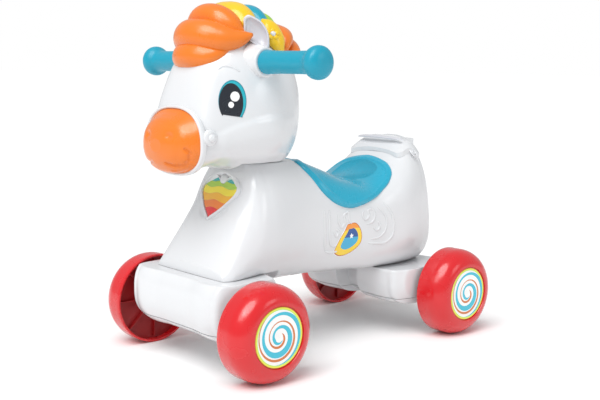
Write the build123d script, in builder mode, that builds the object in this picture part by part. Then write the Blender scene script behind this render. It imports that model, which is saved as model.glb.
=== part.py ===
"""Ride-on toy horse on four wheels: blow-moulded body and head, moulded trim, steel axles, heart button.

Millimetres. +Z is up, the horse faces -Y, +X is the horse's left side. The origin is on the floor under
the middle of the horse's length.
"""

import os
from math import cos, sin, tau

from build123d import *

os.makedirs("parts", exist_ok=True)

# ---- Wheels and axles -------------------------------------------------------------------------
wheelbase = 394.0
axle_shift = 6.0  # how far the middle of the wheelbase lies behind the origin
wheel_radius = 68.0
wheel_width = 49.0
wheel_inner_face = 119.0  # from the middle plane to the open side of a wheel
wheel_wall = 3.5
tread_edge_round = 1.5
shoulder_axial = 29.0
hub_face_radius = 42.5
hub_face_sink = 1.6
cap_radius = 41.0
cap_thickness = 1.2
axle_radius = 5.0
running_gap = 0.08
hub_tube_wall = 5.0
hub_pocket_radius = 13.0
hub_pocket_depth = 9.0
back_plate_sink = 12.0
back_plate_thickness = 3.0
rib_count = 8
rib_thickness = 2.0
washer_radius = 9.0
washer_thickness = 1.6
push_nut_radius = 9.0
push_nut_thickness = 2.5
side_play = 0.5

front_axle_y = axle_shift - wheelbase / 2
rear_axle_y = axle_shift + wheelbase / 2
axle_z = wheel_radius
wheel_outer_face = wheel_inner_face + wheel_width
hub_outer_end = wheel_outer_face - hub_face_sink - cap_thickness - hub_pocket_depth
axle_end = hub_outer_end + side_play + push_nut_thickness + 1.5
hub_inner_end = wheel_inner_face + 4.0

# ---- Body, housings and head -------------------------------------------------------------------
body_wall = 3.0
front_seam_z = 131.0
rear_seam_z = 108.0
head_base_z = 285.0
housing_half_width = 108.0
housing_wall = 3.0
cover_seam_z = 60.0
boss_radius = 6.5
screw_radius = 1.9
screw_head_radius = 3.8
screw_head_height = 2.4
screw_length = 22.0
head_wall = 3.0
noseband_y = front_axle_y - 45.0
noseband_width = 5.0
noseband_proud = 1.6
muzzle_length = 35.5
collar_radius = 34.0
collar_wall = 3.0
collar_flange = 6.0
collar_y = front_axle_y + 92.0
neck_front_y = front_axle_y + 31.0
neck_back_y = front_axle_y + 146.0

# ---- Trim that is held or touched --------------------------------------------------------------
saddle_skin = 4.0
bar_y = front_axle_y + 46.0
bar_z = head_base_z + 142.0
bar_radius = 8.0
bar_wall = 1.5
bar_half_length = 193.0
grip_start = 81.0
grip_root_radius = 16.5
grip_radius = 15.5
knob_start = bar_half_length - 17.0
knob_end = bar_half_length + 5.0
knob_radius = 22.5
socket_start = 62.0
socket_radius = 21.0
heart_centre = Vector(0, front_axle_y + 23, front_seam_z + 102)
heart_lean = 28.0  # degrees that the chest panel leans back
heart_half_width = 38.0
heart_gap = 0.4
heart_bezel_width = 4.5
heart_travel = 2.5
heart_plate = 5.0
module_depth = 24.0


def outline(low, high, width_low, width_high, power, count=20):
    """Points round an upright section: a superellipse whose half width changes from bottom to top."""
    points = []
    for i in range(count):
        turn = tau * (i + 0.5) / count
        across = abs(cos(turn)) ** (2 / power) * (1 if cos(turn) > 0 else -1)
        rise = (1 + abs(sin(turn)) ** (2 / power) * (1 if sin(turn) > 0 else -1)) / 2
        half_width = width_low + (width_high - width_low) * rise
        points.append((half_width * across, low + (high - low) * rise))
    return points


def upright_loft(stations, inset=0.0):
    """Solid through upright sections across the horse, each drawn in by the inset.

    A station is its y, its lowest and highest z, the half widths near its bottom and top, and its power.
    """
    first, last = stations[0][0], stations[-1][0]
    with BuildPart() as form:
        for place, low, high, width_low, width_high, power in stations:
            along = place + inset * ((place == first) - (place == last))
            with BuildSketch(Plane.XZ.offset(-along)):
                with BuildLine():
                    Spline(
                        *outline(low + inset, high - inset, width_low - inset, width_high - inset, power),
                        periodic=True,
                    )
                make_face()
        loft()
    return form.part


def egg(x, y, z, half_x, half_y, half_z):
    """Ellipsoid about a centre."""
    return Pos(x, y, z) * scale(Solid.make_sphere(1), by=(half_x, half_y, half_z))


def finish(node, name):
    """Label a part and write its file."""
    node.label = name
    export_step(node, f"parts/{name}.step")


# ---- Body form: chest and front legs, barrel, rump and rear legs ---------------------------------
# Chest and shoulder rows start with y from the front axle, rump rows with y from the rear axle, and
# barrel rows with their share of the way between the two groups. Then come the lowest and highest z,
# the half widths near the bottom and the top, and the power.
chest_rows = [
    (-25, 120, 146, 84, 70, 3.0),
    (-17, 118, 160, 92, 68, 2.9),
    (-1, 116, 190, 98, 66, 2.8),
    (15, 114, 220, 100, 64, 2.7),
    (31, 112, 252, 101, 63, 2.6),
    (43, 110, 285, 101, 62, 2.6),
    (66, 109, 300, 99, 62, 2.6),
    (96, 108, 302, 90, 64, 2.6),
]
barrel_rows = [
    (0.186, 107, 288, 79, 70, 2.6),
    (0.395, 106, 270, 78, 76, 2.8),
    (0.651, 105, 249, 82, 82, 3.1),
    (0.86, 103, 243, 88, 84, 3.4),
]
rump_rows = [
    (-83, 102, 257, 94, 84, 3.4),
    (-53, 101, 281, 98, 80, 3.2),
    (-28, 100, 303, 97, 70, 3.1),
    (-5, 100, 305, 91, 62, 2.9),
    (15, 101, 291, 80, 56, 2.7),
    (26, 104, 262, 64, 48, 2.5),
]
shoulder_y = front_axle_y + chest_rows[-1][0]
hip_y = rear_axle_y + rump_rows[0][0]
body_stations = (
    [(front_axle_y + y, *rest) for y, *rest in chest_rows]
    + [(shoulder_y + share * (hip_y - shoulder_y), *rest) for share, *rest in barrel_rows]
    + [(rear_axle_y + y, *rest) for y, *rest in rump_rows]
)
neck_top_z = head_base_z
with BuildPart() as body_form:
    add(upright_loft(body_stations))
    with BuildSketch(Plane.XY.offset(neck_top_z)):
        with Locations((0, neck_back_y - 100)):
            Rectangle(300, 200)
    extrude(amount=60, mode=Mode.SUBTRACT)
    with BuildSketch(Plane.XY.offset(front_seam_z)):
        with Locations((0, front_axle_y - 50)):
            Rectangle(300, 220)
    extrude(amount=-60, mode=Mode.SUBTRACT)
    with BuildSketch(Plane.XY.offset(rear_seam_z)):
        with Locations((0, rear_axle_y - 20)):
            Rectangle(300, 230)
    extrude(amount=-60, mode=Mode.SUBTRACT)

# ---- Head and muzzle forms ----------------------------------------------------------------------
# A skull row is y from the front axle, lowest and highest z above the neck seam, half widths and power.
skull_rows = [
    (-45, -10, 85, 68, 52, 2.5),
    (-37, -8, 117, 73, 54, 2.4),
    (-27, -6, 143, 77, 56, 2.4),
    (-9, -4, 169, 84, 60, 2.3),
    (16, -7, 191, 91, 67, 2.3),
    (51, -13, 199, 95, 72, 2.3),
    (81, -13, 195, 92, 72, 2.3),
    (106, -11, 181, 82, 66, 2.3),
    (125, -1, 163, 66, 55, 2.2),
    (139, 27, 137, 43, 38, 2.1),
    (145, 50, 112, 20, 18, 2.0),
]
skull_stations = [
    (front_axle_y + y, head_base_z + low, head_base_z + high, *rest)
    for y, low, high, *rest in skull_rows
]
muzzle_base_y = noseband_y - noseband_width
# A muzzle row is its share of the way to the tip, lowest and highest z above the neck seam, half widths
# and power.
muzzle_rows = [
    (0.0, -7, 67, 63, 60, 2.4),
    (0.36, -9, 67, 57, 54, 2.3),
    (0.69, -2, 61, 45, 43, 2.2),
    (0.902, 9, 49, 29, 28, 2.1),
    (1.0, 20, 38, 12, 12, 2.0),
]
muzzle_stations = [
    (muzzle_base_y - share * (muzzle_length - noseband_width), head_base_z + low, head_base_z + high, *rest)
    for share, low, high, *rest in muzzle_rows
]

# ---- Heart panel shapes --------------------------------------------------------------------------
lean = heart_lean * tau / 360
heart_plane = Plane(origin=heart_centre, x_dir=(1, 0, 0), z_dir=(0, -cos(lean), sin(lean)))


def heart_outline(grow=0.0):
    """Heart drawn about the panel's centre: pointed at the bottom, two lobes at the top."""
    half = heart_half_width + grow
    with BuildSketch(Plane.XY) as shape:
        with BuildLine():
            left = Spline(
                (0, -0.78 * half),
                (-0.62 * half, -0.22 * half),
                (-half, 0.38 * half),
                (-0.55 * half, 0.88 * half),
                (0, 0.62 * half),
            )
            mirror(left, about=Plane.YZ)
        make_face()
    return shape.sketch


def heart_prism(grow, start, end):
    """The heart, grown all round, from one depth to another along the panel's normal."""
    with BuildPart() as prism:
        with BuildSketch(heart_plane.offset(start)):
            add(heart_outline(grow))
        extrude(amount=end - start)
    return prism.part


bezel_outside = heart_gap + heart_bezel_width


def rod(radius, start, end, y, z, bore=0.0):
    """Round bar or tube along X between two x values."""
    with BuildPart() as piece:
        with BuildSketch(Plane.YZ.offset(start)):
            with Locations((y, z)):
                Circle(radius)
                if bore:
                    Circle(bore, mode=Mode.SUBTRACT)
        extrude(amount=end - start)
    return piece.part


def post(radius, low, high, x, y, bore=0.0):
    """Round post or tube along Z between two heights."""
    with BuildPart() as piece:
        with BuildSketch(Plane.XY.offset(low)):
            with Locations((x, y)):
                Circle(radius)
                if bore:
                    Circle(bore, mode=Mode.SUBTRACT)
        extrude(amount=high - low)
    return piece.part


def block(x_range, y_range, z_range, corner=0.0):
    """Rectangular block between limits, its upright corners rounded."""
    with BuildPart() as piece:
        with BuildSketch(Plane.XY.offset(z_range[0])):
            with Locations(((x_range[0] + x_range[1]) / 2, (y_range[0] + y_range[1]) / 2)):
                if corner:
                    RectangleRounded(x_range[1] - x_range[0], y_range[1] - y_range[0], corner)
                else:
                    Rectangle(x_range[1] - x_range[0], y_range[1] - y_range[0])
        extrude(amount=z_range[1] - z_range[0])
    return piece.part


# ---- Battery box, power switch, rear handle and saddle places in the body ------------------------
battery_x, battery_y = (-38.0, 38.0), (-58.0, -2.0)
battery_floor_z, battery_top_z = 112.0, 148.0
battery_wall = 2.0
switch_y = 22.0
switch_travel = 6.0
switch_knob = 5.0
switch_gap = 0.3
switch_floor_z = 110.5
switch_tip_z = 103.0
slot_x, slot_floor_z = 42.0, 284.0
slot_y = (rear_axle_y - 22.0, rear_axle_y - 4.0)
handle_x, handle_top_z = 58.0, 311.0
handle_y = (rear_axle_y - 49.0, rear_axle_y + 7.0)
handle_wall = 3.0
handle_proud = 6.0
lug_radius = 5.0
lug_places = ((0.0, 20.0, 262.0), (0.0, 85.0, 246.0))
leg_post_places = {
    "front": [(side * 60.0, front_axle_y + 16.0) for side in (-1, 1)],
    "rear": [(side * 45.0, rear_axle_y - 48.0) for side in (-1, 1)],
}
leg_post_height = 30.0

with BuildPart() as body_hollow:
    add(upright_loft(body_stations, inset=body_wall))
    add(
        block((-150, 150), (neck_back_y - 200, neck_back_y + 15), (neck_top_z - body_wall, neck_top_z + 60)),
        mode=Mode.SUBTRACT,
    )
slot_cutter = block(
    (-slot_x - handle_wall, slot_x + handle_wall),
    (slot_y[0] - handle_wall, slot_y[1] + handle_wall),
    (slot_floor_z - handle_wall, handle_top_z + 20),
)
switch_slot = block(
    (-switch_knob / 2 - switch_gap, switch_knob / 2 + switch_gap + switch_travel),
    (switch_y - switch_knob / 2 - switch_gap, switch_y + switch_knob / 2 + switch_gap),
    (switch_tip_z - 3, switch_floor_z),
)
with BuildPart() as body_shell:
    add(body_form.part)
    add(body_hollow.part, mode=Mode.SUBTRACT)
    for end, seam in (("front", front_seam_z), ("rear", rear_seam_z)):
        for x, y in leg_post_places[end]:
            add(post(boss_radius + 3, seam, seam + leg_post_height, x, y) & body_form.part)
            add(post(screw_radius, seam - 5, seam + screw_length, x, y), mode=Mode.SUBTRACT)
    add(heart_prism(bezel_outside, -40, 30), mode=Mode.SUBTRACT)
    add(post(collar_radius, neck_top_z - 20, neck_top_z + 5, 0, collar_y), mode=Mode.SUBTRACT)
    add(block(battery_x, battery_y, (battery_floor_z - 22, battery_floor_z + 8)), mode=Mode.SUBTRACT)
    add(switch_slot, mode=Mode.SUBTRACT)
    add(slot_cutter, mode=Mode.SUBTRACT)
    for x, y, top in lug_places:
        add(post(lug_radius, top - 30, top + 20, x, y), mode=Mode.SUBTRACT)
finish(body_shell.part, "body_shell")

# ---- Head shell and neck collar --------------------------------------------------------------------
with BuildPart() as head_form:
    add(upright_loft(skull_stations))
    add(block((-150, 150), (neck_front_y, neck_front_y + 160), (200, head_base_z)), mode=Mode.SUBTRACT)
with BuildPart() as head_hollow:
    add(upright_loft(skull_stations, inset=head_wall))
    add(
        block((-150, 150), (neck_front_y, neck_front_y + 160), (200, head_base_z + head_wall)),
        mode=Mode.SUBTRACT,
    )
with BuildPart() as head_shell:
    add(head_form.part)
    add(head_hollow.part, mode=Mode.SUBTRACT)
    add(post(collar_radius, head_base_z - 5, head_base_z + 10, 0, collar_y), mode=Mode.SUBTRACT)
    pocket = (head_base_z + head_wall, head_base_z + 4 * head_wall)
    add(post(collar_radius + collar_flange, *pocket, 0, collar_y), mode=Mode.SUBTRACT)
    add(rod(bar_radius, -130, 130, bar_y, bar_z), mode=Mode.SUBTRACT)
finish(head_shell.part, "head_shell")

collar_bore = collar_radius - collar_wall
flange_z = head_base_z + head_wall
with BuildPart() as neck_collar:
    add(post(collar_radius, head_base_z - 14, flange_z, 0, collar_y, bore=collar_bore))
    add(post(collar_radius + collar_flange, flange_z, flange_z + collar_wall, 0, collar_y, bore=collar_bore))
finish(neck_collar.part, "neck_collar")

# ---- Muzzle, noseband and bridle buttons ---------------------------------------------------------
open_back = [(muzzle_base_y + 2 * head_wall, *muzzle_stations[0][1:])]
with BuildPart() as muzzle:
    add(upright_loft(muzzle_stations[::-1]))
    add(upright_loft((open_back + muzzle_stations)[::-1], inset=head_wall), mode=Mode.SUBTRACT)
finish(muzzle.part, "muzzle")

band_stations = [
    (muzzle_base_y, head_base_z - 9, head_base_z + 70, 65, 62, 2.4),
    (noseband_y, head_base_z - 11.5, head_base_z + 79, 70, 58, 2.4),
]
with BuildPart() as noseband:
    add(upright_loft(band_stations))
    with BuildSketch(Plane.XZ.offset(-noseband_y)):
        with Locations((0, head_base_z + 31)):
            Ellipse(44, 28)
    extrude(amount=noseband_width, mode=Mode.SUBTRACT)
finish(noseband.part, "noseband")

button_y, button_z = noseband_y + 7.0, head_base_z + 41.0
button_radius, stud_radius = 11.0, 5.5
button_face = 69.0
bridle_band = upright_loft(band_stations)
for side, word in ((1, "left"), (-1, "right")):
    with BuildPart() as bridle_button:
        add(rod(button_radius, 54, button_face, button_y, button_z))
        add(rod(stud_radius, button_face, button_face + 4, button_y, button_z))
        if side < 0:
            mirror(about=Plane.YZ, mode=Mode.REPLACE)
        add(head_form.part, mode=Mode.SUBTRACT)
        add(bridle_band, mode=Mode.SUBTRACT)
    finish(bridle_button.part, f"bridle_button_{word}")

# ---- Eyes and flank badges: thin printed pieces that lie on the surface ---------------------------
skin = 0.8
head_skin = upright_loft(skull_stations, inset=-skin)
body_skin = upright_loft(body_stations, inset=-skin)
eye_centre = (60, front_axle_y + 3, head_base_z + 89)
eye_plane = Plane(origin=eye_centre, x_dir=(0.55, 0.83, 0), z_dir=(0.83, -0.55, 0))
badge_plane = Plane(origin=(70, 27, 165), x_dir=(0, 1, 0), z_dir=(1, 0, 0))
for side, word in ((1, "left"), (-1, "right")):
    with BuildPart() as eye:
        with BuildSketch(eye_plane):
            Ellipse(19, 28)
        extrude(amount=60)
        if side < 0:
            mirror(about=Plane.YZ, mode=Mode.REPLACE)
        add(head_skin, mode=Mode.INTERSECT)
        add(head_form.part, mode=Mode.SUBTRACT)
    finish(eye.part, f"eye_{word}")
    with BuildPart() as badge:
        with BuildSketch(badge_plane):
            RectangleRounded(44, 46, 14)
        extrude(amount=60)
        if side < 0:
            mirror(about=Plane.YZ, mode=Mode.REPLACE)
        add(body_skin, mode=Mode.INTERSECT)
        add(body_form.part, mode=Mode.SUBTRACT)
    finish(badge.part, f"flank_badge_{word}")

# ---- Saddle ----------------------------------------------------------------------------------------
saddle_edge = [
    (-40, 300),
    (-38, 276),
    (-30, 248),
    (-10, 224),
    (22, 214),
    (52, 217),
    (84, 228),
    (112, 246),
    (134, 264),
    (149, 283),
    (155, 300),
]
with BuildPart() as saddle:
    with BuildSketch(Plane.YZ.offset(-130)):
        with BuildLine():
            edge = Spline(*saddle_edge)
            Line(edge @ 1, edge @ 0)
        make_face()
    extrude(amount=260)
    add(upright_loft(body_stations, inset=-saddle_skin), mode=Mode.INTERSECT)
    add(body_form.part, mode=Mode.SUBTRACT)
    for x, y, top in lug_places:
        add(post(lug_radius, top - 22, top, x, y))
finish(saddle.part, "saddle")

# ---- Rear handle: raised crest across the rump with a finger slot -----------------------------------
slot_liner = block(
    (-slot_x - handle_wall, slot_x + handle_wall),
    (slot_y[0] - handle_wall, slot_y[1] + handle_wall),
    (slot_floor_z - handle_wall, handle_top_z - 4),
)
with BuildPart() as rear_handle:
    add(block((-handle_x, handle_x), handle_y, (262, handle_top_z), corner=12))
    add(upright_loft(body_stations, inset=-handle_proud), mode=Mode.INTERSECT)
    add(body_form.part, mode=Mode.SUBTRACT)
    add(slot_liner)
    add(block((-slot_x, slot_x), slot_y, (slot_floor_z, 330), corner=6), mode=Mode.SUBTRACT)
finish(rear_handle.part, "rear_handle")

# ---- Heart panel: bezel, button, chamber, board, speaker -------------------------------------------
bezel_back, bezel_front = -6.0, 2.2
with BuildPart() as heart_bezel:
    add(heart_prism(bezel_outside, bezel_back, bezel_front))
    add(heart_prism(heart_gap, bezel_back, bezel_front), mode=Mode.SUBTRACT)
finish(heart_bezel.part, "heart_bezel")

stem_end = -9.0
button_front = 1.2
with BuildPart() as heart_button:
    add(heart_prism(0, button_front - heart_plate, button_front))
    with BuildSketch(heart_plane.offset(stem_end)):
        Circle(5)
    extrude(amount=button_front - heart_plate - stem_end)
finish(heart_button.part, "heart_button")

chamber_wall = 2.0
with BuildPart() as heart_chamber:
    add(heart_prism(bezel_outside, -module_depth, bezel_back))
    add(
        heart_prism(bezel_outside - chamber_wall, chamber_wall - module_depth, bezel_back),
        mode=Mode.SUBTRACT,
    )
finish(heart_chamber.part, "heart_chamber")

board_thickness = 1.6
dome_height = 1.2
dome_top = stem_end - heart_travel - 0.3
board_front = dome_top - dome_height
with BuildPart() as sound_board:
    with BuildSketch(heart_plane.offset(board_front - board_thickness)):
        with Locations((0, 2)):
            Rectangle(40, 28)
    extrude(amount=board_thickness)
finish(sound_board.part, "sound_board")
with BuildPart() as press_switch:
    with BuildSketch(heart_plane.offset(board_front)):
        Circle(4)
    extrude(amount=dome_height)
finish(press_switch.part, "press_switch")
with BuildPart() as speaker:
    with BuildSketch(heart_plane.offset(chamber_wall - module_depth)):
        with Locations((0, 2)):
            Circle(14)
    extrude(amount=board_front - board_thickness - chamber_wall + module_depth - 0.5)
finish(speaker.part, "speaker")

# ---- Handlebar, grips and sockets -------------------------------------------------------------------
bar_bore = bar_radius - bar_wall
finish(rod(bar_radius, -bar_half_length, bar_half_length, bar_y, bar_z, bore=bar_bore), "handlebar_tube")
bar_axis = Axis((0, bar_y, bar_z), (1, 0, 0))
bar_sketch = Plane.XZ.offset(-bar_y)
for side, word in ((1, "left"), (-1, "right")):
    with BuildPart() as grip:
        with BuildSketch(bar_sketch):
            with BuildLine():
                Polyline(
                    (knob_end, bar_z),
                    (bar_half_length, bar_z),
                    (bar_half_length, bar_z + bar_radius),
                    (grip_start, bar_z + bar_radius),
                    (grip_start, bar_z + grip_root_radius),
                    (grip_start + 14, bar_z + grip_radius),
                    (knob_start - 3, bar_z + grip_radius),
                )
                Spline(
                    (knob_start - 3, bar_z + grip_radius),
                    (knob_start + 5, bar_z + knob_radius - 2),
                    (knob_start + 12, bar_z + knob_radius),
                    (knob_end - 3, bar_z + knob_radius - 4),
                    (knob_end, bar_z),
                    tangents=[(1, 0), (0, -1)],
                )
            make_face()
        revolve(axis=bar_axis)
        if side < 0:
            mirror(about=Plane.YZ, mode=Mode.REPLACE)
    finish(grip.part, f"grip_{word}")
    with BuildPart() as grip_socket:
        with BuildSketch(bar_sketch):
            Polygon(
                (socket_start, bar_z + bar_radius),
                (grip_start, bar_z + bar_radius),
                (grip_start, bar_z + socket_radius - 2),
                (grip_start - 3, bar_z + socket_radius),
                (socket_start, bar_z + socket_radius + 5),
                align=None,
            )
        revolve(axis=bar_axis)
        if side < 0:
            mirror(about=Plane.YZ, mode=Mode.REPLACE)
        add(head_form.part, mode=Mode.SUBTRACT)
    finish(grip_socket.part, f"grip_socket_{word}")

# ---- Ears and mane -----------------------------------------------------------------------------------
socket_room = rod(socket_radius + 5.5, 40, 100, bar_y, bar_z)
ear_place = Pos(60, front_axle_y + 47, head_base_z + 181)
ear_form = ear_place * Rot(0, 0, 40) * Rot(0, -24, 0) * egg(0, 0, 0, 18, 7, 25)
for side, word in ((1, "left"), (-1, "right")):
    with BuildPart() as ear:
        add(ear_form)
        add(socket_room, mode=Mode.SUBTRACT)
        if side < 0:
            mirror(about=Plane.YZ, mode=Mode.REPLACE)
        add(head_form.part, mode=Mode.SUBTRACT)
    finish(ear.part, f"ear_{word}")

# A lump of hair is y from the front axle, z above the neck seam and its three half sizes.
mane_locks = {
    "forelock": [(-13, 153, 40, 27, 24), (-1, 179, 48, 32, 26), (17, 197, 38, 28, 23)],
    "crest_lock": [(47, 195, 44, 30, 32)],
    "teal_lock": [(79, 193, 36, 26, 27)],
    "green_lock": [(103, 183, 38, 24, 24)],
    "rear_mane": [(123, 167, 42, 27, 30)],
}
placed = []
for name, lumps in mane_locks.items():
    eggs = [egg(0, front_axle_y + y, head_base_z + z, *half) for y, z, *half in lumps]
    with BuildPart() as lock:
        add(eggs)
        add(head_form.part, mode=Mode.SUBTRACT)
        add(placed, mode=Mode.SUBTRACT)
    finish(lock.part, name)
    placed = placed[:] + [lock.part]

# ---- Axle housings and their covers -------------------------------------------------------------------
def cross_loft(stations, centre_y, inset=0.0):
    """Solid through sections across the width; a station is x, half length, low z, high z and power."""
    with BuildPart() as form:
        for place, half_length, low, high, power in stations:
            along = place - inset * (1 if place > 0 else -1) * (abs(place) == stations[-1][0])
            points = outline(low + inset, high - inset, half_length - inset, half_length - inset, power)
            with BuildSketch(Plane.YZ.offset(along)):
                with BuildLine():
                    Spline(*[(centre_y + u, v) for u, v in points], periodic=True)
                make_face()
        loft()
    return form.part


def both_ways(stations):
    """Stations on one side of the middle plane and their mirror images."""
    return [(-place, *rest) for place, *rest in reversed(stations)] + stations


housings = {
    "front": {
        "centre_y": front_axle_y + 1.0,
        "seam_z": front_seam_z,
        "axle_y": front_axle_y,
        "stations": both_ways(
            [
                (30, 57, 45, 146, 2.7),
                (88, 57, 46, 146, 2.7),
                (102, 51, 50, 140, 2.6),
                (housing_half_width, 38, 56, 126, 2.5),
            ]
        ),
    },
    "rear": {
        "centre_y": rear_axle_y - 36.0,
        "seam_z": rear_seam_z,
        "axle_y": rear_axle_y,
        "stations": both_ways(
            [
                (30, 69, 46, 134, 2.7),
                (88, 69, 47, 134, 2.7),
                (102, 64, 50, 128, 2.6),
                (housing_half_width, 52, 58, 118, 2.5),
            ]
        ),
    },
}
axle_boss_radius = 10.0
boss_start = 88.0
axle_boss_end = hub_inner_end - side_play - washer_thickness
cover_posts = [(x, y) for x in (-62.0, 62.0) for y in (-27.0, 27.0)]
screw_seat_z = cover_seam_z - 7.0
cover_screws = []
leg_screws = []
axle_washers = []
push_nuts = []


def screw(x, y, seat_z, length):
    """Pan-head screw that points up, its head under the seat."""
    return post(screw_head_radius, seat_z - screw_head_height, seat_z, x, y) + post(
        screw_radius, seat_z, seat_z + length, x, y
    )


for end, housing in housings.items():
    seam_z, axle_y, stations = housing["seam_z"], housing["axle_y"], housing["stations"]
    form = cross_loft(stations, housing["centre_y"]) - block((-200, 200), (-400, 400), (seam_z, 300))
    hollow = cross_loft(stations, housing["centre_y"], inset=housing_wall) - block(
        (-200, 200), (-400, 400), (seam_z - housing_wall, 300)
    )
    bosses = [
        rod(axle_boss_radius, start, start + axle_boss_end - boss_start, axle_y, axle_z)
        for start in (boss_start, -axle_boss_end)
    ]
    boss_room = [
        rod(axle_boss_radius + 0.2, start, start + 50, axle_y, axle_z)
        for start in (boss_start - 1, -boss_start - 49)
    ]
    posts = [(x, housing["centre_y"] + y) for x, y in cover_posts]
    with BuildPart() as upper:
        add(form)
        add(hollow, mode=Mode.SUBTRACT)
        for x, y in posts:
            add(post(boss_radius, cover_seam_z, seam_z - housing_wall, x, y))
        add(block((-200, 200), (-400, 400), (0, cover_seam_z)), mode=Mode.SUBTRACT)
        add(bosses)
        add(rod(axle_radius, -axle_boss_end, axle_boss_end, axle_y, axle_z), mode=Mode.SUBTRACT)
        for x, y in posts:
            add(post(screw_radius, cover_seam_z, cover_seam_z + screw_length - 7, x, y), mode=Mode.SUBTRACT)
        for x, y in leg_post_places[end]:
            add(post(screw_radius, seam_z - 10, seam_z, x, y), mode=Mode.SUBTRACT)
    finish(upper.part, f"{end}_axle_housing")
    with BuildPart() as cover:
        add(form)
        add(hollow, mode=Mode.SUBTRACT)
        for x, y in posts:
            add(post(boss_radius, screw_seat_z - 5, cover_seam_z, x, y))
        add(block((-200, 200), (-400, 400), (cover_seam_z, 300)), mode=Mode.SUBTRACT)
        add(boss_room, mode=Mode.SUBTRACT)
        for x, y in posts:
            add(post(screw_head_radius + 0.4, 0, screw_seat_z, x, y), mode=Mode.SUBTRACT)
            add(post(screw_radius + 0.3, 0, cover_seam_z, x, y), mode=Mode.SUBTRACT)
    finish(cover.part, f"{end}_axle_cover")
    finish(rod(axle_radius, -axle_end, axle_end, axle_y, axle_z), f"{end}_axle")
    cover_screws += [screw(x, y, screw_seat_z, screw_length) for x, y in posts]
    leg_screws += [screw(x, y, seam_z - housing_wall, screw_length) for x, y in leg_post_places[end]]
    for side in (-1, 1):
        inner = sorted((side * axle_boss_end, side * (axle_boss_end + washer_thickness)))
        axle_washers.append(rod(washer_radius, *inner, axle_y, axle_z, bore=axle_radius))
        nut_start = hub_outer_end + side_play
        nut = sorted((side * nut_start, side * (nut_start + push_nut_thickness)))
        push_nuts.append(rod(push_nut_radius, *nut, axle_y, axle_z, bore=axle_radius))

for name, group in (
    ("cover_screws", cover_screws),
    ("leg_screws", leg_screws),
    ("axle_washers", axle_washers),
    ("push_nuts", push_nuts),
):
    finish(Compound(children=group), name)

# ---- Wheels -----------------------------------------------------------------------------------------
for end, housing in housings.items():
    axle_y = housing["axle_y"]
    wheel_axis = Axis((0, axle_y, axle_z), (1, 0, 0))
    radial = Plane(origin=(0, axle_y, axle_z), x_dir=(1, 0, 0), z_dir=(0, -1, 0))
    face_x = wheel_outer_face
    seat_x = face_x - hub_face_sink - cap_thickness
    shoulder_x = face_x - shoulder_axial
    rim_r = hub_face_radius + 1.5
    bore_r = axle_radius + running_gap
    tube_r = bore_r + hub_tube_wall
    cup_r = hub_pocket_radius + wheel_wall
    inner_r = wheel_radius - wheel_wall
    with BuildPart() as wheel_shell:
        with BuildSketch(radial):
            with BuildLine():
                EllipticalCenterArc((shoulder_x, rim_r), shoulder_axial, wheel_radius - rim_r)
                Polyline(
                    (shoulder_x, wheel_radius),
                    (wheel_inner_face + tread_edge_round, wheel_radius),
                    (wheel_inner_face, wheel_radius - tread_edge_round),
                    (wheel_inner_face, inner_r),
                    (shoulder_x, inner_r),
                )
                EllipticalCenterArc(
                    (shoulder_x, rim_r), shoulder_axial - wheel_wall, wheel_radius - rim_r - wheel_wall
                )
                Polyline(
                    (face_x - wheel_wall, rim_r),
                    (seat_x - wheel_wall, rim_r - 1.5),
                    (seat_x - wheel_wall, cup_r),
                    (hub_outer_end - wheel_wall, cup_r),
                    (hub_outer_end - wheel_wall, tube_r),
                    (hub_inner_end, tube_r),
                    (hub_inner_end, bore_r),
                    (hub_outer_end, bore_r),
                    (hub_outer_end, hub_pocket_radius),
                    (seat_x, hub_pocket_radius),
                    (seat_x, hub_face_radius),
                    (face_x, hub_face_radius),
                    (face_x, rim_r),
                )
            make_face()
        revolve(axis=wheel_axis)
    plate_x = wheel_inner_face + back_plate_sink
    with BuildPart() as wheel_plate:
        add(rod(inner_r, plate_x, plate_x + back_plate_thickness, axle_y, axle_z, bore=tube_r))
        with BuildSketch(Plane.YZ.offset(plate_x - 5)):
            with Locations((axle_y, axle_z)):
                with PolarLocations((tube_r + inner_r) / 2, rib_count):
                    Rectangle(inner_r - tube_r - 8, rib_thickness)
        extrude(amount=5)
    hub_cap = rod(cap_radius, seat_x, seat_x + cap_thickness, axle_y, axle_z)
    for side, word in ((1, "left"), (-1, "right")):
        pieces = (
            (wheel_shell.part, f"wheel_{end}_{word}_shell"),
            (wheel_plate.part, f"wheel_{end}_{word}_plate"),
            (hub_cap, f"wheel_{end}_{word}_cap"),
        )
        for solid, name in pieces:
            with BuildPart() as piece:
                add(solid)
                if side < 0:
                    mirror(about=Plane.YZ, mode=Mode.REPLACE)
            finish(piece.part, name)

# ---- Battery box, door, batteries, screw, lead and power switch ---------------------------------------
inside_x = (battery_x[0] + battery_wall, battery_x[1] - battery_wall)
inside_y = (battery_y[0] + battery_wall, battery_y[1] - battery_wall)
door_gap = 0.25
door_z = (battery_floor_z + 1.5, battery_floor_z + 4.0)
battery_mid_y = (battery_y[0] + battery_y[1]) / 2
door_post_x = 30.0
door_screw_radius, door_head_radius = 1.5, 3.0
door_head_top = door_z[0] + 1.5
cell_radius, cell_length, cell_pitch = 7.25, 50.5, 15.5
cell_start_x = inside_x[0] + 1.0
cell_z = door_z[1] + 10.0
with BuildPart() as battery_box:
    add(block(battery_x, battery_y, (battery_floor_z, battery_top_z)))
    add(block(inside_x, inside_y, (battery_floor_z, battery_top_z - battery_wall)), mode=Mode.SUBTRACT)
    add(post(4, door_z[1], battery_top_z - battery_wall, door_post_x, battery_mid_y))
    add(post(door_screw_radius, door_z[1], door_z[1] + 12, door_post_x, battery_mid_y), mode=Mode.SUBTRACT)
finish(battery_box.part, "battery_box")
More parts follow.
